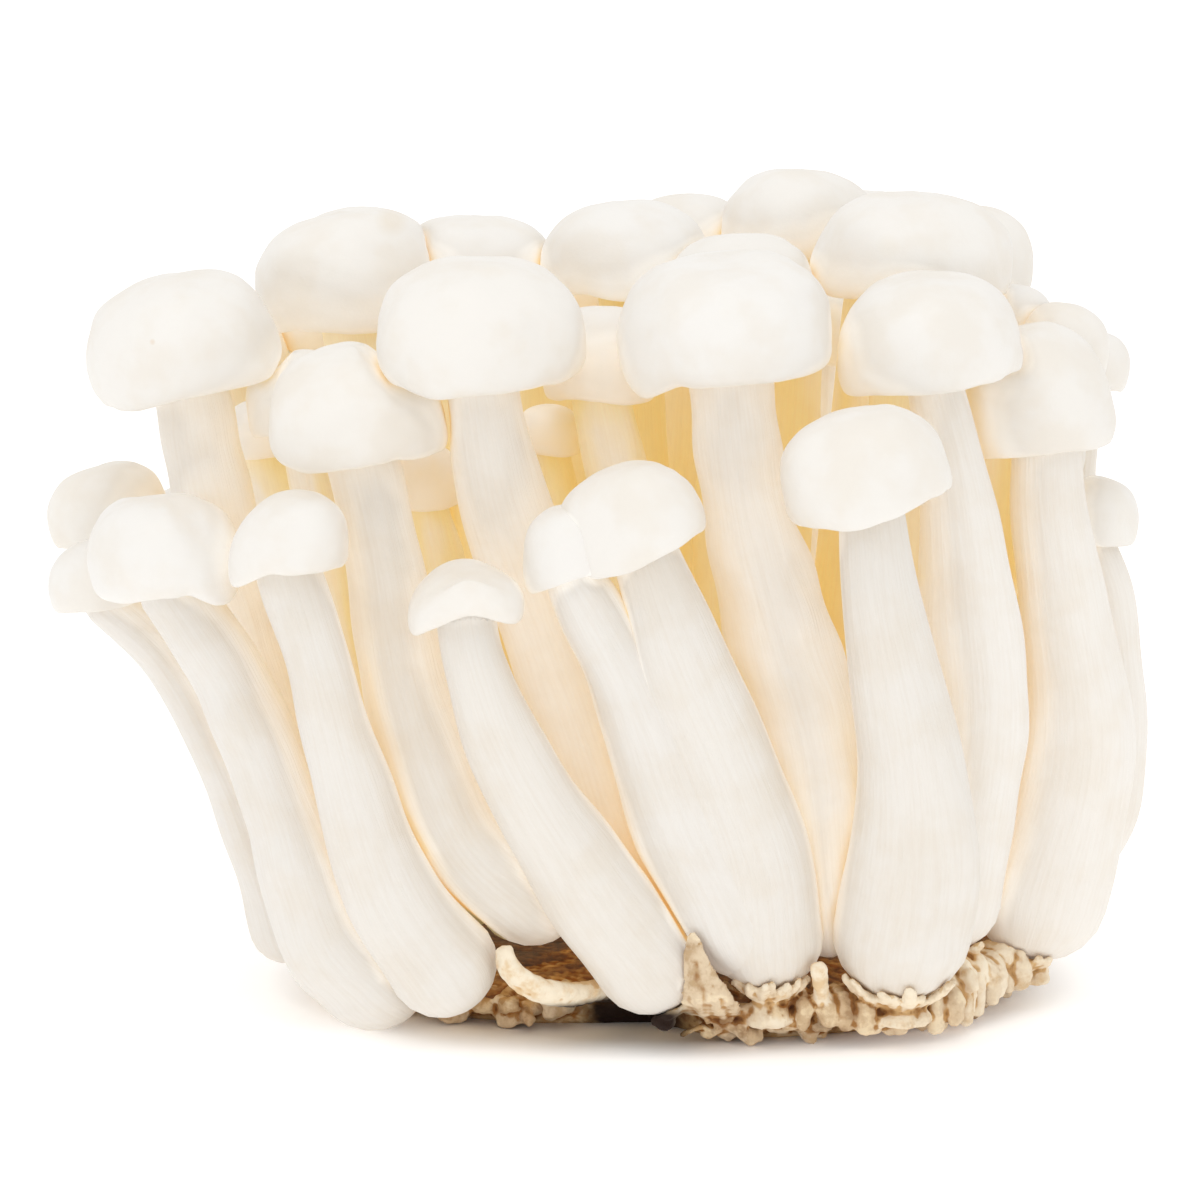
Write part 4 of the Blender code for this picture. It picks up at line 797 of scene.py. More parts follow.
def mushroom_skin(one, everyone, ground, tree):
    """Points, faces and values of one finished mushroom."""
    sides = FRONT_SIDES if one.name in FINE else OTHER_SIDES
    turn = np.arange(sides) * 2 * math.pi / sides
    top, cap, cap_anchors, kinds = cap_rings(one, sides, turn)
    count = FRONT_STEM_RINGS if one.name in FINE else OTHER_STEM_RINGS
    stem, stem_anchors, along, bottom = stem_rings(one, sides, turn, count)
    points = np.concatenate((cap, stem))
    anchors = np.concatenate((cap_anchors, stem_anchors))
    rings = len(points)
    for partner in partners_of(one, everyone):
        points = melt_seam(one, partner, points.reshape(-1, 3)).reshape(points.shape)
    neighbours = neighbours_of(one, everyone)
    share = press_in(one, neighbours, ground, points.reshape(-1, 3), anchors.reshape(-1, 3))
    share = soften(share.reshape(rings, sides))
    points = anchors + (points - anchors) * share[..., None]
    ends = np.array([top, bottom])
    end_anchors = np.array([cap_anchors[0, 0], stem_anchors[-1, 0]])
    end_share = press_in(one, neighbours, ground, ends, end_anchors)
    ends = end_anchors + (ends - end_anchors) * end_share[:, None]
    normals = grid_normals(points)
    ring_at = np.unique(np.append(np.arange(0, rings, OPEN_RING_STEP), rings - 1))
    side_at = np.arange(0, sides, OPEN_SIDE_STEP)
    some = points[np.ix_(ring_at, side_at)].reshape(-1, 3)
    some_normals = normals[np.ix_(ring_at, side_at)].reshape(-1, 3)
    coarse = open_share(tree, some, some_normals, one.name).reshape(len(ring_at), len(side_at))
    light = spread_grid(coarse, ring_at, side_at, rings, sides)
    kind = np.repeat(np.array(kinds + [1.0] * len(stem)), sides)
    travel = np.concatenate((np.zeros(len(cap)), along))
    strand = np.zeros((rings, sides, 3))
    strand[..., 0] = one.neck * np.cos(turn)
    strand[..., 1] = one.neck * np.sin(turn)
    strand[..., 2] = travel[:, None]
    whole = np.vstack((ends[:1], points.reshape(-1, 3), ends[1:]))
    flat_light = np.concatenate(([light[0].mean()], light.ravel(), [light[-1].mean()]))
    values = {
        "openness": flat_light,
        "kind": np.concatenate(([0.0], kind, [1.0])),
        "strand": np.vstack(([[0, 0, 0]], strand.reshape(-1, 3), [[0, 0, travel[-1]]])),
    }
    return whole, skin_faces(rings, sides), values


# The dried base

class Ground:
    """The lump of the base: its outline round the middle and the level of its top."""

    def __init__(self, everyone):
        self.angles = np.arange(BASE_ANGLES) * 2 * math.pi / BASE_ANGLES
        self.reaches = np.array([base_reach(a, everyone) for a in self.angles])

    def reach(self, angle):
        """Distance from the middle to the edge, straight between the corners of the outline."""
        step = 2 * math.pi / BASE_ANGLES
        before = np.floor(angle / step).astype(int)
        first = self.reaches[before % BASE_ANGLES]
        second = self.reaches[(before + 1) % BASE_ANGLES]
        part = angle - before * step
        return first * second * math.sin(step) / (first * np.sin(part) + second * np.sin(step - part))

    def top(self, share):
        return BASE_TOP + (BASE_EDGE_TOP - BASE_TOP) * np.minimum(share, 1.0) ** 3

    def height_above(self, points):
        """Level of each point above the top of the lump, large where the lump does not reach."""
        x = points[:, 0] - BASE_MIDDLE[0]
        y = points[:, 1] - BASE_MIDDLE[1]
        share = np.hypot(x, y) / self.reach(np.arctan2(y, x) % (2 * math.pi))
        return np.where(share < 1.06, points[:, 2] - self.top(share), 1e6)

    def skin(self):
        """Points and faces of the fine lump with its cut underside."""
        sides = BASE_SKIN_ANGLES
        turn = np.arange(sides) * 2 * math.pi / sides
        reach = self.reach(turn)
        rings = []
        for share in BASE_SKIN_SHARES:
            ring = np.zeros((sides, 3))
            ring[:, 0] = BASE_MIDDLE[0] + share * reach * np.cos(turn)
            ring[:, 1] = BASE_MIDDLE[1] + share * reach * np.sin(turn)
            ring[:, 2] = self.top(share) - 0.25 + 0.2 * ripple(ring, "lump", 5.0)
            rings.append(ring)
        for inset, level in BASE_UNDER_RINGS:
            ring = rings[-1].copy()
            ring[:, 0] = BASE_MIDDLE[0] + (reach - inset) * np.cos(turn)
            ring[:, 1] = BASE_MIDDLE[1] + (reach - inset) * np.sin(turn)
            ring[:, 2] = level
            rings.append(ring)
        grid = np.array(rings)
        whole = np.vstack(([[*BASE_MIDDLE, BASE_TOP]], grid.reshape(-1, 3), [[*BASE_MIDDLE, 0.0]]))
        return whole, skin_faces(len(grid), sides)


def toward_degrees(points):
    """Direction of each point from the middle of the base, 0 to 360 degrees."""
    return np.degrees(np.arctan2(points[:, 1] - BASE_MIDDLE[1], points[:, 0] - BASE_MIDDLE[0])) % 360.0


def clear_height(x, y, everyone):
    """Highest level at (x, y) that stays below every foot and stem."""
    best = BASE_TOP
    for one in everyone:
        flat = np.hypot(one.beads[:, 0] - x, one.beads[:, 1] - y)
        reach = one.beads[:, 3] + BASE_FOOT_MARGIN
        near = flat < reach
        if near.any():
            below = one.beads[near, 2] - np.sqrt(reach[near] ** 2 - flat[near] ** 2)
            best = min(best, float(below.min()))
    return best


def base_reach(angle, everyone):
    """How far the base runs out in one direction before a low foot stands in its way."""
    rough = 1.0 + 0.02 * math.sin(7 * angle + 0.6) + 0.02 * math.sin(11 * angle + 2.0)
    for middle, width, depth in BASE_DENTS:
        rough -= depth * math.exp(-((math.degrees(angle) - middle) / width) ** 2)
    across = abs(math.cos(angle) / BASE_REACH[0]) ** BASE_CORNER_POWER
    along = abs(math.sin(angle) / BASE_REACH[1]) ** BASE_CORNER_POWER
    wide = rough * (across + along) ** (-1.0 / BASE_CORNER_POWER)
    for share in np.linspace(0.3, 1.0, 71):
        x = BASE_MIDDLE[0] + wide * share * math.cos(angle)
        y = BASE_MIDDLE[1] + wide * share * math.sin(angle)
        if clear_height(x, y, everyone) < BASE_LEAST_HEIGHT:
            return wide * share - 0.6
    return wide


def tube(points, sides, flatness=1.0, ridges=0, ridge_depth=0.0, twist=0.0):
    """A closed tube along the points as a grid skin, with blunt ends and optional lengthwise ridges."""
    path = np.array(points)
    turn = np.arange(sides) * 2 * math.pi / sides
    side = Vector((0.0, 0.0, 1.0))
    rings = []
    centres = []
    wave = 1.0 + ridge_depth * np.cos(ridges * turn)
    for k in range(len(path)):
        ahead = Vector(path[min(k + 1, len(path) - 1), :3] - path[max(k - 1, 0), :3]).normalized()
        side = (side - ahead * side.dot(ahead)).normalized()
        front = side.cross(ahead)
        spin = twist * k / len(path)
        one = side * math.cos(spin) + front * math.sin(spin)
        two = front * math.cos(spin) - side * math.sin(spin)
        shape = np.outer(np.cos(turn) * flatness, one) + np.outer(np.sin(turn), two)
        rings.append(path[k, :3] + path[k, 3] * wave[:, None] * shape)
        centres.append(path[k, :3])
    start = Vector(path[0, :3] - path[1, :3]).normalized()
    end = Vector(path[-1, :3] - path[-2, :3]).normalized()
    grid = [path[0, :3] + np.array(start) * path[0, 3] * 0.4 + (rings[0] - path[0, :3]) * 0.7]
    grid += rings
    grid += [path[-1, :3] + np.array(end) * path[-1, 3] * 0.5 + (rings[-1] - path[-1, :3]) * 0.7]
    centres = [path[0, :3]] + centres + [path[-1, :3]]
    anchors = np.repeat(np.array(centres)[:, None, :], sides, axis=1)
    first = path[0, :3] + np.array(start) * path[0, 3] * 0.6
    last = path[-1, :3] + np.array(end) * path[-1, 3] * 0.75
    whole = np.vstack((first[None], np.array(grid).reshape(-1, 3), last[None]))
    whole_anchors = np.vstack((path[:1, :3], anchors.reshape(-1, 3), path[-1:, :3]))
    return whole, skin_faces(len(grid), sides), whole_anchors


def clear_of_all(points, everyone, ground, gap):
    """True where a point keeps the gap from every mushroom, or lies below the top of the lump."""
    best = np.full(len(points), 1e3)
    for one in everyone:
        best = one.distance_near(points, best)
    return (best > gap) | (ground.height_above(points) < 0.1)


def draw_in(points, anchors, everyone, ground, gap):
    """Pulls points towards their anchors until they are clear of the mushrooms."""
    low = np.zeros(len(points))
    high = np.ones(len(points))
    good = clear_of_all(points, everyone, ground, gap)
    for _ in range(7):
        middle = 0.5 * (low + high)
        fine = clear_of_all(anchors + (points - anchors) * middle[:, None], everyone, ground, gap)
        low = np.where(fine, middle, low)
        high = np.where(fine, high, middle)
    share = np.where(good, 1.0, low)
    return anchors + (points - anchors) * share[:, None]


def growth(shape, everyone, ground, pale):
    """A tube of growth drawn in beside the feet, with its paleness."""
    points, faces, anchors = shape
    return draw_in(points, anchors, everyone, ground, GROWTH_CLEAR), faces, pale


def stub_path(rng, ground):
    """Centreline of a curled stub: it runs outwards, then bends down and sideways."""
    at_front = rng.random() < STUB_FRONT_SHARE
    heading = math.radians(rng.uniform(*STUB_FRONT) if at_front else rng.uniform(0.0, 360.0))
    heading %= 2 * math.pi
    thick = rng.uniform(*STUB_THICK)
    reach = float(ground.reach(heading)) - rng.uniform(*STUB_FROM_EDGE)
    root = Vector((BASE_MIDDLE[0] + reach * math.cos(heading),
                   BASE_MIDDLE[1] + reach * math.sin(heading), rng.uniform(*STUB_ROOT_LEVEL)))
    heading += rng.uniform(-STUB_TURN, STUB_TURN)
    flat = Vector((math.cos(heading), math.sin(heading), 0.0))
    across = Vector((-flat.y, flat.x, 0.0))
    length = rng.uniform(*STUB_LENGTH)
    drop = rng.uniform(*STUB_DROP)
    curl = rng.uniform(-STUB_CURL, STUB_CURL)
    points = []
    for k in range(STUB_SAMPLES):
        t = k / (STUB_SAMPLES - 1)
        out = length * math.sin(1.75 * t)
        point = root + flat * out + across * (curl * t * t) + Vector((0, 0, -drop * t ** 1.5))
        point.z = max(point.z, thick * 0.75)
        points.append((*point, thick * (1.0 - 0.25 * t)))
    return points


def finger_path(root, outward, tip_level, thick, reach, rng):
    """Centreline of a fat finger: out over the edge, then down, with its tip curled in or out."""
    across = Vector((-outward.y, outward.x, 0.0))
    lean = rng.uniform(-FINGER_LEAN, FINGER_LEAN)
    curl = rng.uniform(*FINGER_CURL)
    points = []
    for k in range(FINGER_SAMPLES):
        t = k / (FINGER_SAMPLES - 1)
        out = reach * math.sin(min(2.3 * t, 0.5 * math.pi)) + curl * max(t - 0.7, 0.0) * 3.0
        level = root.z + (tip_level + thick - root.z) * t ** 1.7
        point = root + outward * out + across * (lean * t)
        width = thick * (0.9 + 0.25 * math.sin(math.pi * t) + rng.uniform(-0.06, 0.06))
        points.append((point.x, point.y, level, width))
    return points


def hanging_fingers(everyone, ground):
    """Rows of fat fingers over the front edge of the base, each drawn in where a foot stands close."""
    rng = random.Random(STUB_SEED + 1)
    parts = []
    for (first, last), tips, count, thick, reach, pale in FINGER_ROWS:
        for k in range(count):
            t = (k + rng.uniform(-0.22, 0.22)) / (count - 1)
            root = Vector(first).lerp(Vector(last), t)
            outward = Vector((root.x - BASE_MIDDLE[0], root.y - BASE_MIDDLE[1], 0.0))
            outward.x *= FINGER_SIDEWAYS
            outward.normalize()
            wide = thick * rng.uniform(0.7, 1.3)
            tip = max(tips[0] + (tips[1] - tips[0]) * t + rng.uniform(*FINGER_TIP_SPREAD), 0.4)
            path = finger_path(root, outward, tip, wide, reach * rng.uniform(0.8, 1.15), rng)
            shape = tube(path, FINGER_SIDES, rng.uniform(0.75, 1.0), rng.choice((2, 3)),
                         FINGER_RIDGE_DEPTH, rng.uniform(-0.8, 0.8))
            parts.append(growth(shape, everyone, ground, pale * rng.uniform(0.7, 1.0)))
    return parts


def foot_scales(everyone, ground):
    """Thin pale scales that come up from the base and lie against the feet."""
    rng = random.Random(STUB_SEED + 2)
    parts = []
    for name, first, last, count in FOOT_SCALES:
        x, y, z, radius = MUSHROOMS[name][-1][-1]
        for k in range(count):
            turn = math.radians(first + (last - first) * (k + rng.uniform(-0.3, 0.3)) / (count - 1))
            last_tilt = rng.uniform(*SCALE_LAST_TILT)
            swing = rng.uniform(-SCALE_SWING, SCALE_SWING)
            thick = rng.uniform(*SCALE_THICK)
            gap = rng.uniform(*SCALE_GAP)
            root = 0.4 * radius
            path = [(x + root * math.sin(turn), y - root * math.cos(turn), SCALE_START_LEVEL, thick)]
            for step in range(SCALE_SAMPLES):
                t = step / (SCALE_SAMPLES - 1)
                tilt = math.radians(SCALE_FIRST_TILT + (last_tilt - SCALE_FIRST_TILT) * t)
                away = (radius + gap) * math.cos(tilt)
                heading = turn + swing * t
                path.append((x + away * math.sin(heading), y - away * math.cos(heading),
                             z + (radius + gap) * math.sin(tilt), thick * (1.0 - 0.35 * t)))
            flatness = rng.uniform(*SCALE_FLATNESS)
            shape = tube(path, SCALE_SIDES, flatness, rng.choice((3, 5)), SCALE_RIDGE_DEPTH, swing)
            parts.append(growth(shape, everyone, ground, rng.uniform(*SCALE_PALE)))
    return parts


def tongue_crumbs(everyone, ground):
    """The crinkled brown tongue under the middle feet: crumbs of growth lying every way."""
    rng = random.Random(STUB_SEED + 3)
    low, high, count, widths = TONGUE
    parts = []
    for _ in range(count):
        root = Vector([rng.uniform(a, b) for a, b in zip(low, high)])
        heading = Vector([rng.gauss(0, 1), rng.gauss(0, 0.35), rng.gauss(0, 0.7)]).normalized()
        bend = Vector([rng.gauss(0, 1) for _ in range(3)]) * 0.5
        length = rng.uniform(*CRUMB_LENGTH)
        thick = rng.uniform(*widths)
        path = []
        for k in range(CRUMB_SAMPLES):
            t = k / (CRUMB_SAMPLES - 1) - 0.5
            point = root + heading * (length * t) + bend * (4 * t * t)
            path.append((point.x, point.y, max(point.z, 0.8 * thick + 0.5), thick * (1.0 - 0.3 * abs(t))))
        flatness = rng.uniform(*CRUMB_FLATNESS)
        shape = tube(path, CRUMB_SIDES, flatness, rng.choice((2, 3)), CRUMB_RIDGE_DEPTH, CRUMB_TWIST)
        parts.append(growth(shape, everyone, ground, rng.uniform(*CRUMB_PALE)))
    return parts


def scattered_stubs(everyone, ground):
    """Curled stubs round the lump, wherever no foot stands and outside the dark hollow."""
    rng = random.Random(STUB_SEED)
    parts = []
    for _ in range(STUB_TRIES):
        path = stub_path(rng, ground)
        ridges = rng.choice((3, 4, 5))
        centres = np.array(path)[:, :3]
        twist = rng.uniform(-1.5, 1.5)
        pale = rng.uniform(0.1, 0.6)
        flatness = rng.uniform(0.65, 1.0)
        in_hollow = HOLLOW[0] < toward_degrees(centres[:1])[0] < HOLLOW[1]
        if in_hollow or not clear_of_all(centres, everyone, ground, STUB_CLEAR).all():
            continue
        shape = tube(path, STUB_SIDES, flatness, ridges, STUB_RIDGE_DEPTH, twist)
        parts.append(growth(shape, everyone, ground, pale))
        if len(parts) == STUB_COUNT:
            break
    return parts


def front_growths(everyone, ground):
    """The husk, the flap and the knob."""
    parts = []
    for path, flatness, pale, ridges, depth in (HUSK, FLAP, KNOB):
        shape = tube(smooth_path(path, FRONT_SAMPLES), FRONT_GROWTH_SIDES, flatness, ridges, depth)
        parts.append(growth(shape, everyone, ground, pale))
    return parts


def base_parts(everyone, ground):
    """The lump and all its growths as separate closed skins, each with its paleness."""
    parts = [(*ground.skin(), 0.0)]
    for grown in (scattered_stubs, front_growths, foot_scales, tongue_crumbs, hanging_fingers):
        parts += grown(everyone, ground)
    return parts


def join_parts(parts):
    """One list of points and faces from several skins, with each point's paleness."""
    points = np.vstack([p for p, _, _ in parts])
    pale = np.concatenate([np.full(len(p), value) for p, _, value in parts])
    faces = []
    offset = 0
    for part, part_faces, _ in parts:
        faces += [tuple(k + offset for k in face) for face in part_faces]
        offset += len(part)
    return points, faces, pale


def fused(name, points, faces, voxel):
    """Points and faces of the skins melted into one closed skin."""
    mesh = bpy.data.meshes.new(name)
    mesh.from_pydata(points.tolist(), [], faces)
    work = bpy.data.objects.new(name, mesh)
    bpy.context.scene.collection.objects.link(work)
    remesh = work.modifiers.new("melt", "REMESH")
    remesh.mode = "VOXEL"
    remesh.voxel_size = voxel
    smooth = work.modifiers.new("even", "SMOOTH")
    smooth.iterations = 2
    smooth.factor = 0.5
    graph = bpy.context.evaluated_depsgraph_get()
    melted = bpy.data.meshes.new_from_object(work.evaluated_get(graph))
    out = np.zeros(len(melted.vertices) * 3)
    melted.vertices.foreach_get("co", out)
    normals = np.zeros(len(melted.vertices) * 3)
    melted.vertices.foreach_get("normal", normals)
    out_faces = [tuple(face.vertices) for face in melted.polygons]
    bpy.data.objects.remove(work)
    bpy.data.meshes.remove(mesh)
    bpy.data.meshes.remove(melted)
    return out.reshape(-1, 3), normals.reshape(-1, 3), out_faces


def nearest_value(source, values, targets):
    """The value of the nearest source point, for each target point."""
    tree = KDTree(len(source))
    for k, point in enumerate(source):
        tree.insert(point, k)
    tree.balance()
    picks = [tree.find(point)[1] for point in targets]
    return values[picks]


def fold_share(points, normals, faces):
    """How far each point stands out of its surroundings: near 0 in a crease, 0.5 on a flat, 1 on a ridge."""
    corners = np.array([face for face in faces if len(face) == 4])
    middle = points.copy()
    for _ in range(FOLD_ROUNDS):
        total = np.zeros_like(points)
        number = np.zeros(len(points))
        for k in range(4):
            np.add.at(total, corners[:, k], middle[corners[:, (k + 1) % 4]] + middle[corners[:, k - 1]])
            np.add.at(number, corners[:, k], 2.0)
        middle = np.where(number[:, None] > 0, total / np.maximum(number, 1.0)[:, None], middle)
    out = ((points - middle) * normals).sum(axis=1)
    return np.clip(0.5 + out / FOLD_DEPTH, 0.0, 1.0)


def hollow_share(points):
    """How deep in the dark hollow at the front each point lies, 0 to 1: the mask of its painted shadow."""
    middle = 0.5 * (HOLLOW[0] + HOLLOW[1])
    off = np.abs(toward_degrees(points) - middle)
    across = np.clip((0.5 * (HOLLOW[1] - HOLLOW[0]) - off) / HOLLOW_EDGE, 0.0, 1.0)
    return across * np.clip(HOLLOW_TOP - points[:, 2], 0.0, 1.0)


def base_look(everyone, ground, tree):
    """The finished base: all growths melted into one skin, with its light, paleness and folds."""
    points, faces, pale = join_parts(base_parts(everyone, ground))
    melted, normals, melted_faces = fused("melt", points, faces, BASE_VOXEL)
    paleness = nearest_value(points, pale, melted)
    crinkle = BASE_CRINKLE[0] * ripple(melted, "crinkle", BASE_CRINKLE[1], CRINKLE_WAVES)
    crinkle *= np.where(melted[:, 2] < CRINKLE_FROM, 0.0, 1.0)
    melted = melted + normals * crinkle[:, None]
    melted[:, 2] = np.maximum(melted[:, 2], 0.0)
    some = np.arange(0, len(melted), BASE_LIGHT_STEP)
    light = open_share(tree, melted[some], normals[some], "base")
    light = nearest_value(melted[some], light, melted)
    values = {"openness": light, "pale": paleness, "fold": fold_share(melted, normals, melted_faces),
              "hollow": hollow_share(melted)}
    made = add_mesh("base_growth", melted, melted_faces, base_material(), values)
    fewer = made.modifiers.new("fewer faces", "DECIMATE")
    fewer.ratio = BASE_FACE_SHARE
    return made


# Materials

def new_material(name):
    """A material, its tree and its shader; its faint painted glow is found by bounced rays alone."""
    material = bpy.data.materials.new(name)
    material.use_nodes = True
    material.cycles.emission_sampling = "NONE"
    tree = material.node_tree
    return material, tree, tree.nodes["Principled BSDF"]


def attribute(tree, name, socket="Fac"):
    """A value that each point of the mesh holds."""
    node = tree.nodes.new("ShaderNodeAttribute")
    node.attribute_name = name
    return node.outputs[socket]


def ramp(tree, source, stops):
    """Colours by value, soft between the stops."""
    node = tree.nodes.new("ShaderNodeValToRGB")
    node.color_ramp.interpolation = "EASE"
    while len(node.color_ramp.elements) < len(stops):
        node.color_ramp.elements.new(0.5)
    for element, (position, colour) in zip(node.color_ramp.elements, stops):
        element.position = position
        element.color = (*colour, 1.0)
    tree.links.new(source, node.inputs["Fac"])
    return node.outputs["Color"]


def mix_colour(tree, factor, first, second, blend="MIX"):
    node = tree.nodes.new("ShaderNodeMix")
    node.data_type = "RGBA"
    node.blend_type = blend
    for socket, value in ((node.inputs[0], factor), (node.inputs[6], first), (node.inputs[7], second)):
        if isinstance(value, bpy.types.NodeSocket):
            tree.links.new(value, socket)
        elif isinstance(value, tuple):
            socket.default_value = (*value, 1.0)
        else:
            socket.default_value = value
    return node.outputs[2]


def spread(tree, source, low, high, to_low, to_high):
    """A value brought from one range to another."""
    node = tree.nodes.new("ShaderNodeMapRange")
    tree.links.new(source, node.inputs["Value"])
    for key, value in zip(("From Min", "From Max", "To Min", "To Max"), (low, high, to_low, to_high)):
        node.inputs[key].default_value = value
    return node.outputs["Result"]


def noise(tree, vector, scale, detail, roughness=0.55):
    node = tree.nodes.new("ShaderNodeTexNoise")
    node.inputs["Scale"].default_value = scale
    node.inputs["Detail"].default_value = detail
    node.inputs["Roughness"].default_value = roughness
    tree.links.new(vector, node.inputs["Vector"])
    return node.outputs["Fac"]


def scaled(tree, vector, factors):
    node = tree.nodes.new("ShaderNodeVectorMath")
    node.operation = "MULTIPLY"
    tree.links.new(vector, node.inputs[0])
    node.inputs[1].default_value = factors
    return node.outputs["Vector"]


def oval_distance(tree, place, centre, reaches):
    """Distance from a centre, given in mm, as a share of the reaches along the three directions."""
    offset = tree.nodes.new("ShaderNodeVectorMath")
    offset.operation = "SUBTRACT"
    tree.links.new(place, offset.inputs[0])
    offset.inputs[1].default_value = [(c + s) * MM for c, s in zip(centre, SHIFT)]
    length = tree.nodes.new("ShaderNodeVectorMath")
    length.operation = "LENGTH"
    shares = scaled(tree, offset.outputs["Vector"], [1.0 / (reach * MM) for reach in reaches])
    tree.links.new(shares, length.inputs[0])
    return length.outputs["Value"]


def bump(tree, height, strength, distance, before=None):
    node = tree.nodes.new("ShaderNodeBump")
    node.inputs["Strength"].default_value = strength
    node.inputs["Distance"].default_value = distance
    tree.links.new(height, node.inputs["Height"])
    if before is not None:
        tree.links.new(before, node.inputs["Normal"])
    return node.outputs["Normal"]


# Flesh colour painted by how much light finds its way in, as painted light and shade: for stems outside and
# in the inner rows and for caps;
# and the painted glow, from no lamp, that stands in for light coming through the flesh of the front, inner
# and second rows and of the caps
STEM_PAINTED_LIGHT_STOPS = ((0.0, (0.97, 0.84, 0.53)), (0.05, (0.97, 0.90, 0.73)), (0.11, (0.965, 0.925, 0.85)),
               (0.36, (0.945, 0.925, 0.89)), (0.62, (0.850, 0.826, 0.790)))
INNER_PAINTED_LIGHT_STOPS = ((0.0, (0.97, 0.84, 0.45)), (0.08, (0.975, 0.88, 0.56)), (0.20, (0.975, 0.905, 0.70)),
               (0.34, (0.955, 0.925, 0.86)), (0.62, (0.87, 0.846, 0.806)))
CAP_PAINTED_LIGHT_STOPS = ((0.0, (0.97, 0.88, 0.66)), (0.10, (0.955, 0.91, 0.82)), (0.24, (0.945, 0.92, 0.88)),
             (0.40, (0.90, 0.877, 0.838)), (0.62, (0.842, 0.819, 0.782)))
GLOW_STOPS = ((0.0, (0.090, 0.077, 0.042)), (0.08, (0.088, 0.082, 0.064)), (0.20, (0.096, 0.093, 0.085)),
              (0.40, (0.065, 0.064, 0.060)), (0.62, (0.0, 0.0, 0.0)))
INNER_GLOW_STOPS = ((0.0, (0.105, 0.093, 0.040)), (0.10, (0.095, 0.086, 0.048)),
                    (0.22, (0.091, 0.086, 0.069)), (0.40, (0.060, 0.059, 0.055)), (0.62, (0.0, 0.0, 0.0)))
SECOND_GLOW_STOPS = ((0.0, (0.090, 0.077, 0.042)), (0.08, (0.088, 0.082, 0.064)),
                     (0.20, (0.096, 0.093, 0.085)), (0.40, (0.080, 0.078, 0.073)),
                     (0.62, (0.055, 0.054, 0.052)))
CAP_GLOW_STOPS = ((0.0, (0.050, 0.044, 0.030)), (0.20, (0.050, 0.048, 0.043)), (0.40, (0.030, 0.030, 0.028)),
                  (0.62, (0.0, 0.0, 0.0)))

# Tints of the flesh: streaks down the stem and soft mottling all over
STREAK_STOPS = ((0.30, (0.925, 0.903, 0.875)), (0.62, (0.95, 0.938, 0.922)))
MOTTLE_STOPS = ((0.34, (0.975, 0.955, 0.925)), (0.60, (1.0, 1.0, 1.0)))
MOST_WARMTH = 0.02

# Tan spots on the caps: place in mm, reach in mm and tint
SPOTS = {
    "mushroom_12": (((-45.6, -22.5, 72.3), 0.55, (0.80, 0.62, 0.42)),),
    "mushroom_18": (((-22.1, -1.0, 82.7), 2.0, (0.96, 0.92, 0.86)),),
    "mushroom_24": (((32.7, -8.0, 83.6), 0.9, (0.94, 0.88, 0.79)),
                    ((30.0, -11.0, 81.0), 1.6, (0.98, 0.96, 0.92))),
}
SPOT_DEPTH_SHARE = 0.3


def flesh_material(name):
    """Off-white flesh with fine strands down the stem, painted golden where the neighbours stand close and
    little light gets in.
    """
    material, tree, shader = new_material(name + "_flesh")
    rng = random.Random("flesh " + name)
    place = tree.nodes.new("ShaderNodeTexCoord").outputs["Object"]
    light = attribute(tree, "openness")
    kind = attribute(tree, "kind")
    strand = attribute(tree, "strand", "Vector")
    on_stem = spread(tree, kind, 0.4, 0.6, 0.0, 1.0)
    # Painted light and shade: the stem and cap colour turns golden where little light gets in and greyer
    # where most does
    stem_painted_light = ramp(tree, light, INNER_PAINTED_LIGHT_STOPS if name in INNER else STEM_PAINTED_LIGHT_STOPS)
    body = mix_colour(tree, on_stem, ramp(tree, light, CAP_PAINTED_LIGHT_STOPS), stem_painted_light)
    streaks = noise(tree, scaled(tree, strand, (4.5, 4.5, 0.14)), 1.0, 3.0, 0.6)
    streak_tint = ramp(tree, streaks, STREAK_STOPS)
    streaked = mix_colour(tree, on_stem, body, mix_colour(tree, 1.0, body, streak_tint, "MULTIPLY"))
    mottle = noise(tree, place, 150.0, 3.0)
    mottle_tint = ramp(tree, mottle, MOTTLE_STOPS)
    mottled = mix_colour(tree, 1.0, streaked, mottle_tint, "MULTIPLY")
    warmth = rng.uniform(0.0, MOST_WARMTH)
    tone = (1.0 - 0.3 * warmth, 1.0 - warmth, 1.0 - 2.2 * warmth)
    colour = mix_colour(tree, 1.0, mottled, tone, "MULTIPLY")
    for centre, size, tint in SPOTS.get(name, ()):
        away = oval_distance(tree, place, centre, (size, size / SPOT_DEPTH_SHARE, size))
        inside = spread(tree, away, 0.35, 1.0, 1.0, 0.0)
        colour = mix_colour(tree, inside, colour, mix_colour(tree, 1.0, colour, tint, "MULTIPLY"))
    tree.links.new(colour, shader.inputs["Base Color"])
    # Painted glow: the flesh gives off light by its openness, standing in for light coming through it
    outer_glow = SECOND_GLOW_STOPS if name in SECOND_ROW else GLOW_STOPS
    stem_glow = ramp(tree, light, INNER_GLOW_STOPS if name in INNER else outer_glow)
    glow = mix_colour(tree, on_stem, ramp(tree, light, CAP_GLOW_STOPS), stem_glow)
    tree.links.new(glow, shader.inputs["Emission Color"])
    shader.inputs["Emission Strength"].default_value = 1.0
    fine = noise(tree, place, 2600.0, 2.0)
    tree.links.new(spread(tree, fine, 0.3, 0.7, 0.46, 0.62), shader.inputs["Roughness"])
    skin = bump(tree, fine, 0.10, 0.0002)
    fibre = noise(tree, scaled(tree, strand, (4.2, 4.2, 0.16)), 1.0, 4.0, 0.65)
    fibre_height = mix_colour(tree, on_stem, (0.5, 0.5, 0.5), fibre)
    tree.links.new(bump(tree, fibre_height, 0.35, 0.0003, skin), shader.inputs["Normal"])
    shader.inputs["Specular IOR Level"].default_value = 0.35
    return material
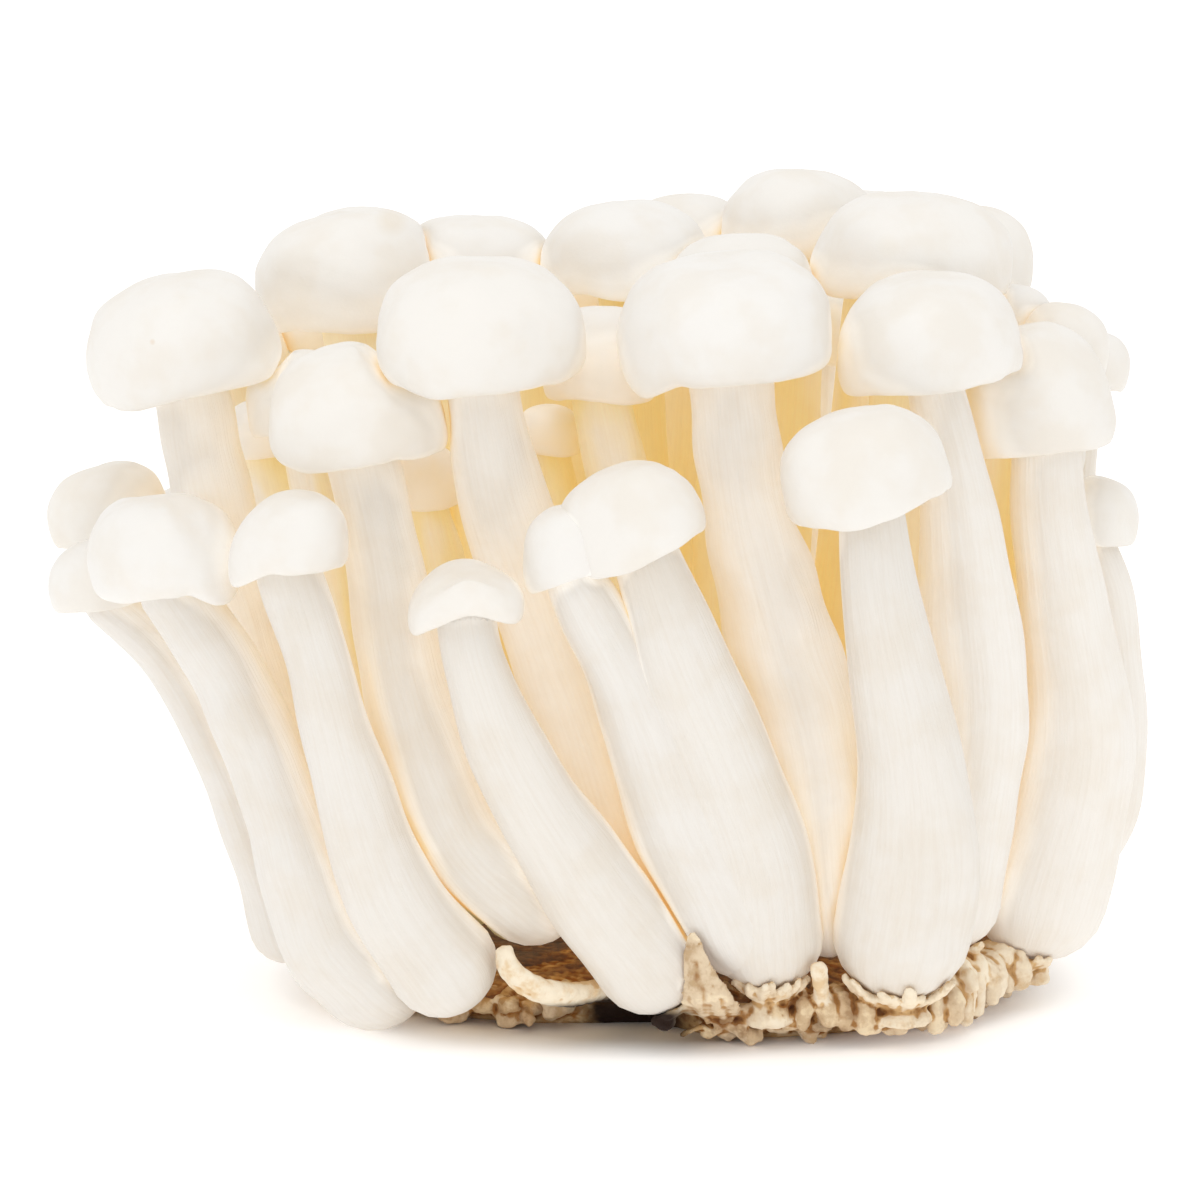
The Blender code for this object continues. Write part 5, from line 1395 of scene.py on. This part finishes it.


# Dried growth: brown and pale patches, the painted shade that darkens both where little light gets in and in
# their creases, the painted glow that stands in for light through the flesh beside them, and the painted
# shadow deep in the hollow
TAN_STOPS = ((0.34, (0.26, 0.13, 0.05)), (0.50, (0.52, 0.33, 0.15)), (0.64, (0.78, 0.60, 0.36)))
CREAM_STOPS = ((0.30, (0.80, 0.60, 0.36)), (0.52, (0.92, 0.82, 0.65)))
BROWN_SHADE_STOPS = ((0.0, (0.20, 0.11, 0.05)), (0.10, (0.34, 0.21, 0.10)),
                     (0.24, (0.80, 0.66, 0.46)), (0.42, (1.0, 1.0, 1.0)))
PALE_SHADE_STOPS = ((0.0, (0.70, 0.56, 0.38)), (0.12, (0.82, 0.70, 0.52)), (0.32, (1.0, 1.0, 1.0)))
BROWN_CREASE_SHADE_STOPS = ((0.0, (0.16, 0.065, 0.022)), (0.36, (0.48, 0.27, 0.10)), (0.62, (1.0, 1.0, 1.0)))
PALE_CREASE_SHADE_STOPS = ((0.0, (0.42, 0.25, 0.11)), (0.34, (0.78, 0.60, 0.38)), (0.58, (1.0, 1.0, 1.0)))
SEAM_GLOW_STOPS = ((0.0, (0.060, 0.042, 0.024)), (0.12, (0.032, 0.022, 0.013)), (0.30, (0.0, 0.0, 0.0)))
HOLLOW_PAINTED_SHADOW = (0.022, 0.010, 0.006)


def base_material():
    """Dried tan growth, paler on the tips and the front husk, with painted shade where little light gets in
    and in its folds, a painted shadow in the front hollow and a faint painted glow.
    """
    material, tree, shader = new_material("base_growth_skin")
    place = tree.nodes.new("ShaderNodeTexCoord").outputs["Object"]
    light = attribute(tree, "openness")
    pale = attribute(tree, "pale")
    patches = noise(tree, place, 420.0, 4.0, 0.6)
    growth_colour = mix_colour(tree, pale, ramp(tree, patches, TAN_STOPS), ramp(tree, patches, CREAM_STOPS))
    # Painted shade: the growth darkens where little light gets in
    brown_shade = ramp(tree, light, BROWN_SHADE_STOPS)
    shade = mix_colour(tree, pale, brown_shade, ramp(tree, light, PALE_SHADE_STOPS))
    # Painted crease shade: darker in the folds
    folds = attribute(tree, "fold")
    brown_crease_shade = ramp(tree, folds, BROWN_CREASE_SHADE_STOPS)
    crease = mix_colour(tree, pale, brown_crease_shade, ramp(tree, folds, PALE_CREASE_SHADE_STOPS))
    openness_shaded = mix_colour(tree, 1.0, growth_colour, shade, "MULTIPLY")
    crease_shaded = mix_colour(tree, 1.0, openness_shaded, crease, "MULTIPLY")
    # Painted shadow: near-black colour laid over the front hollow
    hollow = attribute(tree, "hollow")
    colour = mix_colour(tree, hollow, crease_shaded, HOLLOW_PAINTED_SHADOW)
    tree.links.new(colour, shader.inputs["Base Color"])
    # Painted glow where little light gets in, standing in for light through the flesh beside it; none in the
    # hollow
    seam_glow = mix_colour(tree, hollow, ramp(tree, light, SEAM_GLOW_STOPS), (0.0, 0.0, 0.0))
    tree.links.new(seam_glow, shader.inputs["Emission Color"])
    shader.inputs["Emission Strength"].default_value = 1.0
    fine = noise(tree, place, 1500.0, 4.0, 0.65)
    tree.links.new(spread(tree, fine, 0.3, 0.7, 0.70, 0.92), shader.inputs["Roughness"])
    wrinkles = bump(tree, patches, 0.5, 0.0006)
    tree.links.new(bump(tree, fine, 0.4, 0.0003, wrinkles), shader.inputs["Normal"])
    shader.inputs["Specular IOR Level"].default_value = 0.25
    return material


# Faint grain of the floor
FLOOR_STOPS = ((0.3, (0.84, 0.84, 0.84)), (0.7, (0.86, 0.86, 0.86)))


def floor_material():
    """Pale floor with a painted glow that grows away from the bunch, so it is painted darker round it."""
    material, tree, shader = new_material("pale_floor")
    place = tree.nodes.new("ShaderNodeTexCoord").outputs["Object"]
    grain = noise(tree, place, 40.0, 2.0)
    tree.links.new(ramp(tree, grain, FLOOR_STOPS), shader.inputs["Base Color"])
    shader.inputs["Emission Color"].default_value = (1.0, 1.0, 1.0, 1.0)
    # Painted shadow: no glow under the bunch, rising outward, to darken the floor round it
    away = oval_distance(tree, place, (*BASE_MIDDLE, 0.0), (*BASE_REACH, FLOOR_DEPTH))
    glow = spread(tree, away, *FLOOR_EDGE, *FLOOR_GLOW)
    tree.links.new(glow, shader.inputs["Emission Strength"])
    shader.inputs["Roughness"].default_value = 0.6
    shader.inputs["Specular IOR Level"].default_value = 0.2
    return material


# Stage

def add_area(name, place, size, power, colour):
    """A square soft light that faces the bunch."""
    light = bpy.data.lights.new(name, "AREA")
    light.shape = "SQUARE"
    light.size = size
    light.energy = power
    light.color = colour
    made = bpy.data.objects.new(name, light)
    made.location = place
    made.rotation_euler = (Vector(LIT_MIDDLE) - Vector(place)).to_track_quat("-Z", "Y").to_euler()
    bpy.context.scene.collection.objects.link(made)


def add_world():
    """White all round, a little weaker as light than as the backdrop."""
    world = bpy.data.worlds.new("surroundings")
    world.use_nodes = True
    tree = world.node_tree
    back = tree.nodes["Background"]
    back.inputs["Color"].default_value = (1.0, 1.0, 1.0, 1.0)
    seen = tree.nodes.new("ShaderNodeLightPath").outputs["Is Camera Ray"]
    tree.links.new(spread(tree, seen, 0.0, 1.0, AMBIENT, 1.0), back.inputs["Strength"])
    bpy.context.scene.world = world


def add_floor():
    """One wide square under the bunch."""
    signs = ((-1, -1), (1, -1), (1, 1), (-1, 1))
    corners = [(x * FLOOR_HALF_SIDE, y * FLOOR_HALF_SIDE, 0.0) for x, y in signs]
    mesh = bpy.data.meshes.new("floor")
    mesh.from_pydata(corners, [], [(0, 1, 2, 3)])
    mesh.materials.append(floor_material())
    floor = bpy.data.objects.new("floor", mesh)
    bpy.context.scene.collection.objects.link(floor)


def add_camera():
    """The camera at the photo's distance and angle: one pixel is METRES_PER_PIXEL wide at its aim."""
    lens = bpy.data.cameras.new("camera")
    lens.sensor_width = SENSOR
    lens.lens = SENSOR * (CAMERA_AWAY / METRES_PER_PIXEL) / PHOTO_SIDE_PIXELS
    lens.clip_start = 0.01
    lens.clip_end = 50.0
    camera = bpy.data.objects.new("camera", lens)
    back = Vector((0.0, -math.cos(CAMERA_RISE), math.sin(CAMERA_RISE)))
    camera.location = Vector(CAMERA_AIM) + back * CAMERA_AWAY
    camera.rotation_euler = (math.pi / 2 - CAMERA_RISE, 0.0, 0.0)
    bpy.context.scene.collection.objects.link(camera)
    bpy.context.scene.camera = camera


def add_stage():
    """Pale floor, white surroundings, soft lights and the camera."""
    add_floor()
    add_world()
    add_area(*KEY_LIGHT)
    add_area(*FILL_LIGHT)
    add_camera()
    scene = bpy.context.scene
    scene.view_settings.view_transform = "Standard"
    scene.cycles.max_bounces = MOST_BOUNCES
    scene.cycles.diffuse_bounces = MOST_DIFFUSE_BOUNCES


# Building

def frame_tree(left_out=(), points=(), faces=()):
    """The frame's solids and the given skin as one tree for rays, in millimetres before SHIFT."""
    points = [tuple(point) for point in points]
    faces = list(faces)
    for name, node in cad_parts.items():
        if name in left_out:
            continue
        offset = len(points)
        points += [tuple(np.array(v.co) / MM - SHIFT) for v in node.data.vertices]
        faces += [tuple(k + offset for k in face.vertices) for face in node.data.polygons]
    return BVHTree.FromPolygons(points, faces)


def build():
    """Every finished skin on its body, then the stage."""
    everyone = [Mushroom(name, row) for name, row in MUSHROOMS.items()]
    ground = Ground(everyone)
    tree = frame_tree()
    skins = {one.name: mushroom_skin(one, everyone, ground, tree) for one in everyone}
    for name, (points, faces, values) in skins.items():
        made = add_mesh(name + "_skin", points, faces, flesh_material(name), values)
        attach(made, "root")
        if name not in TWIN:
            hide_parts(name)
    base = base_look(everyone, ground, frame_tree(("base",), *ground.skin()))
    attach(base, "root")
    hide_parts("base")
    add_stage()


build()
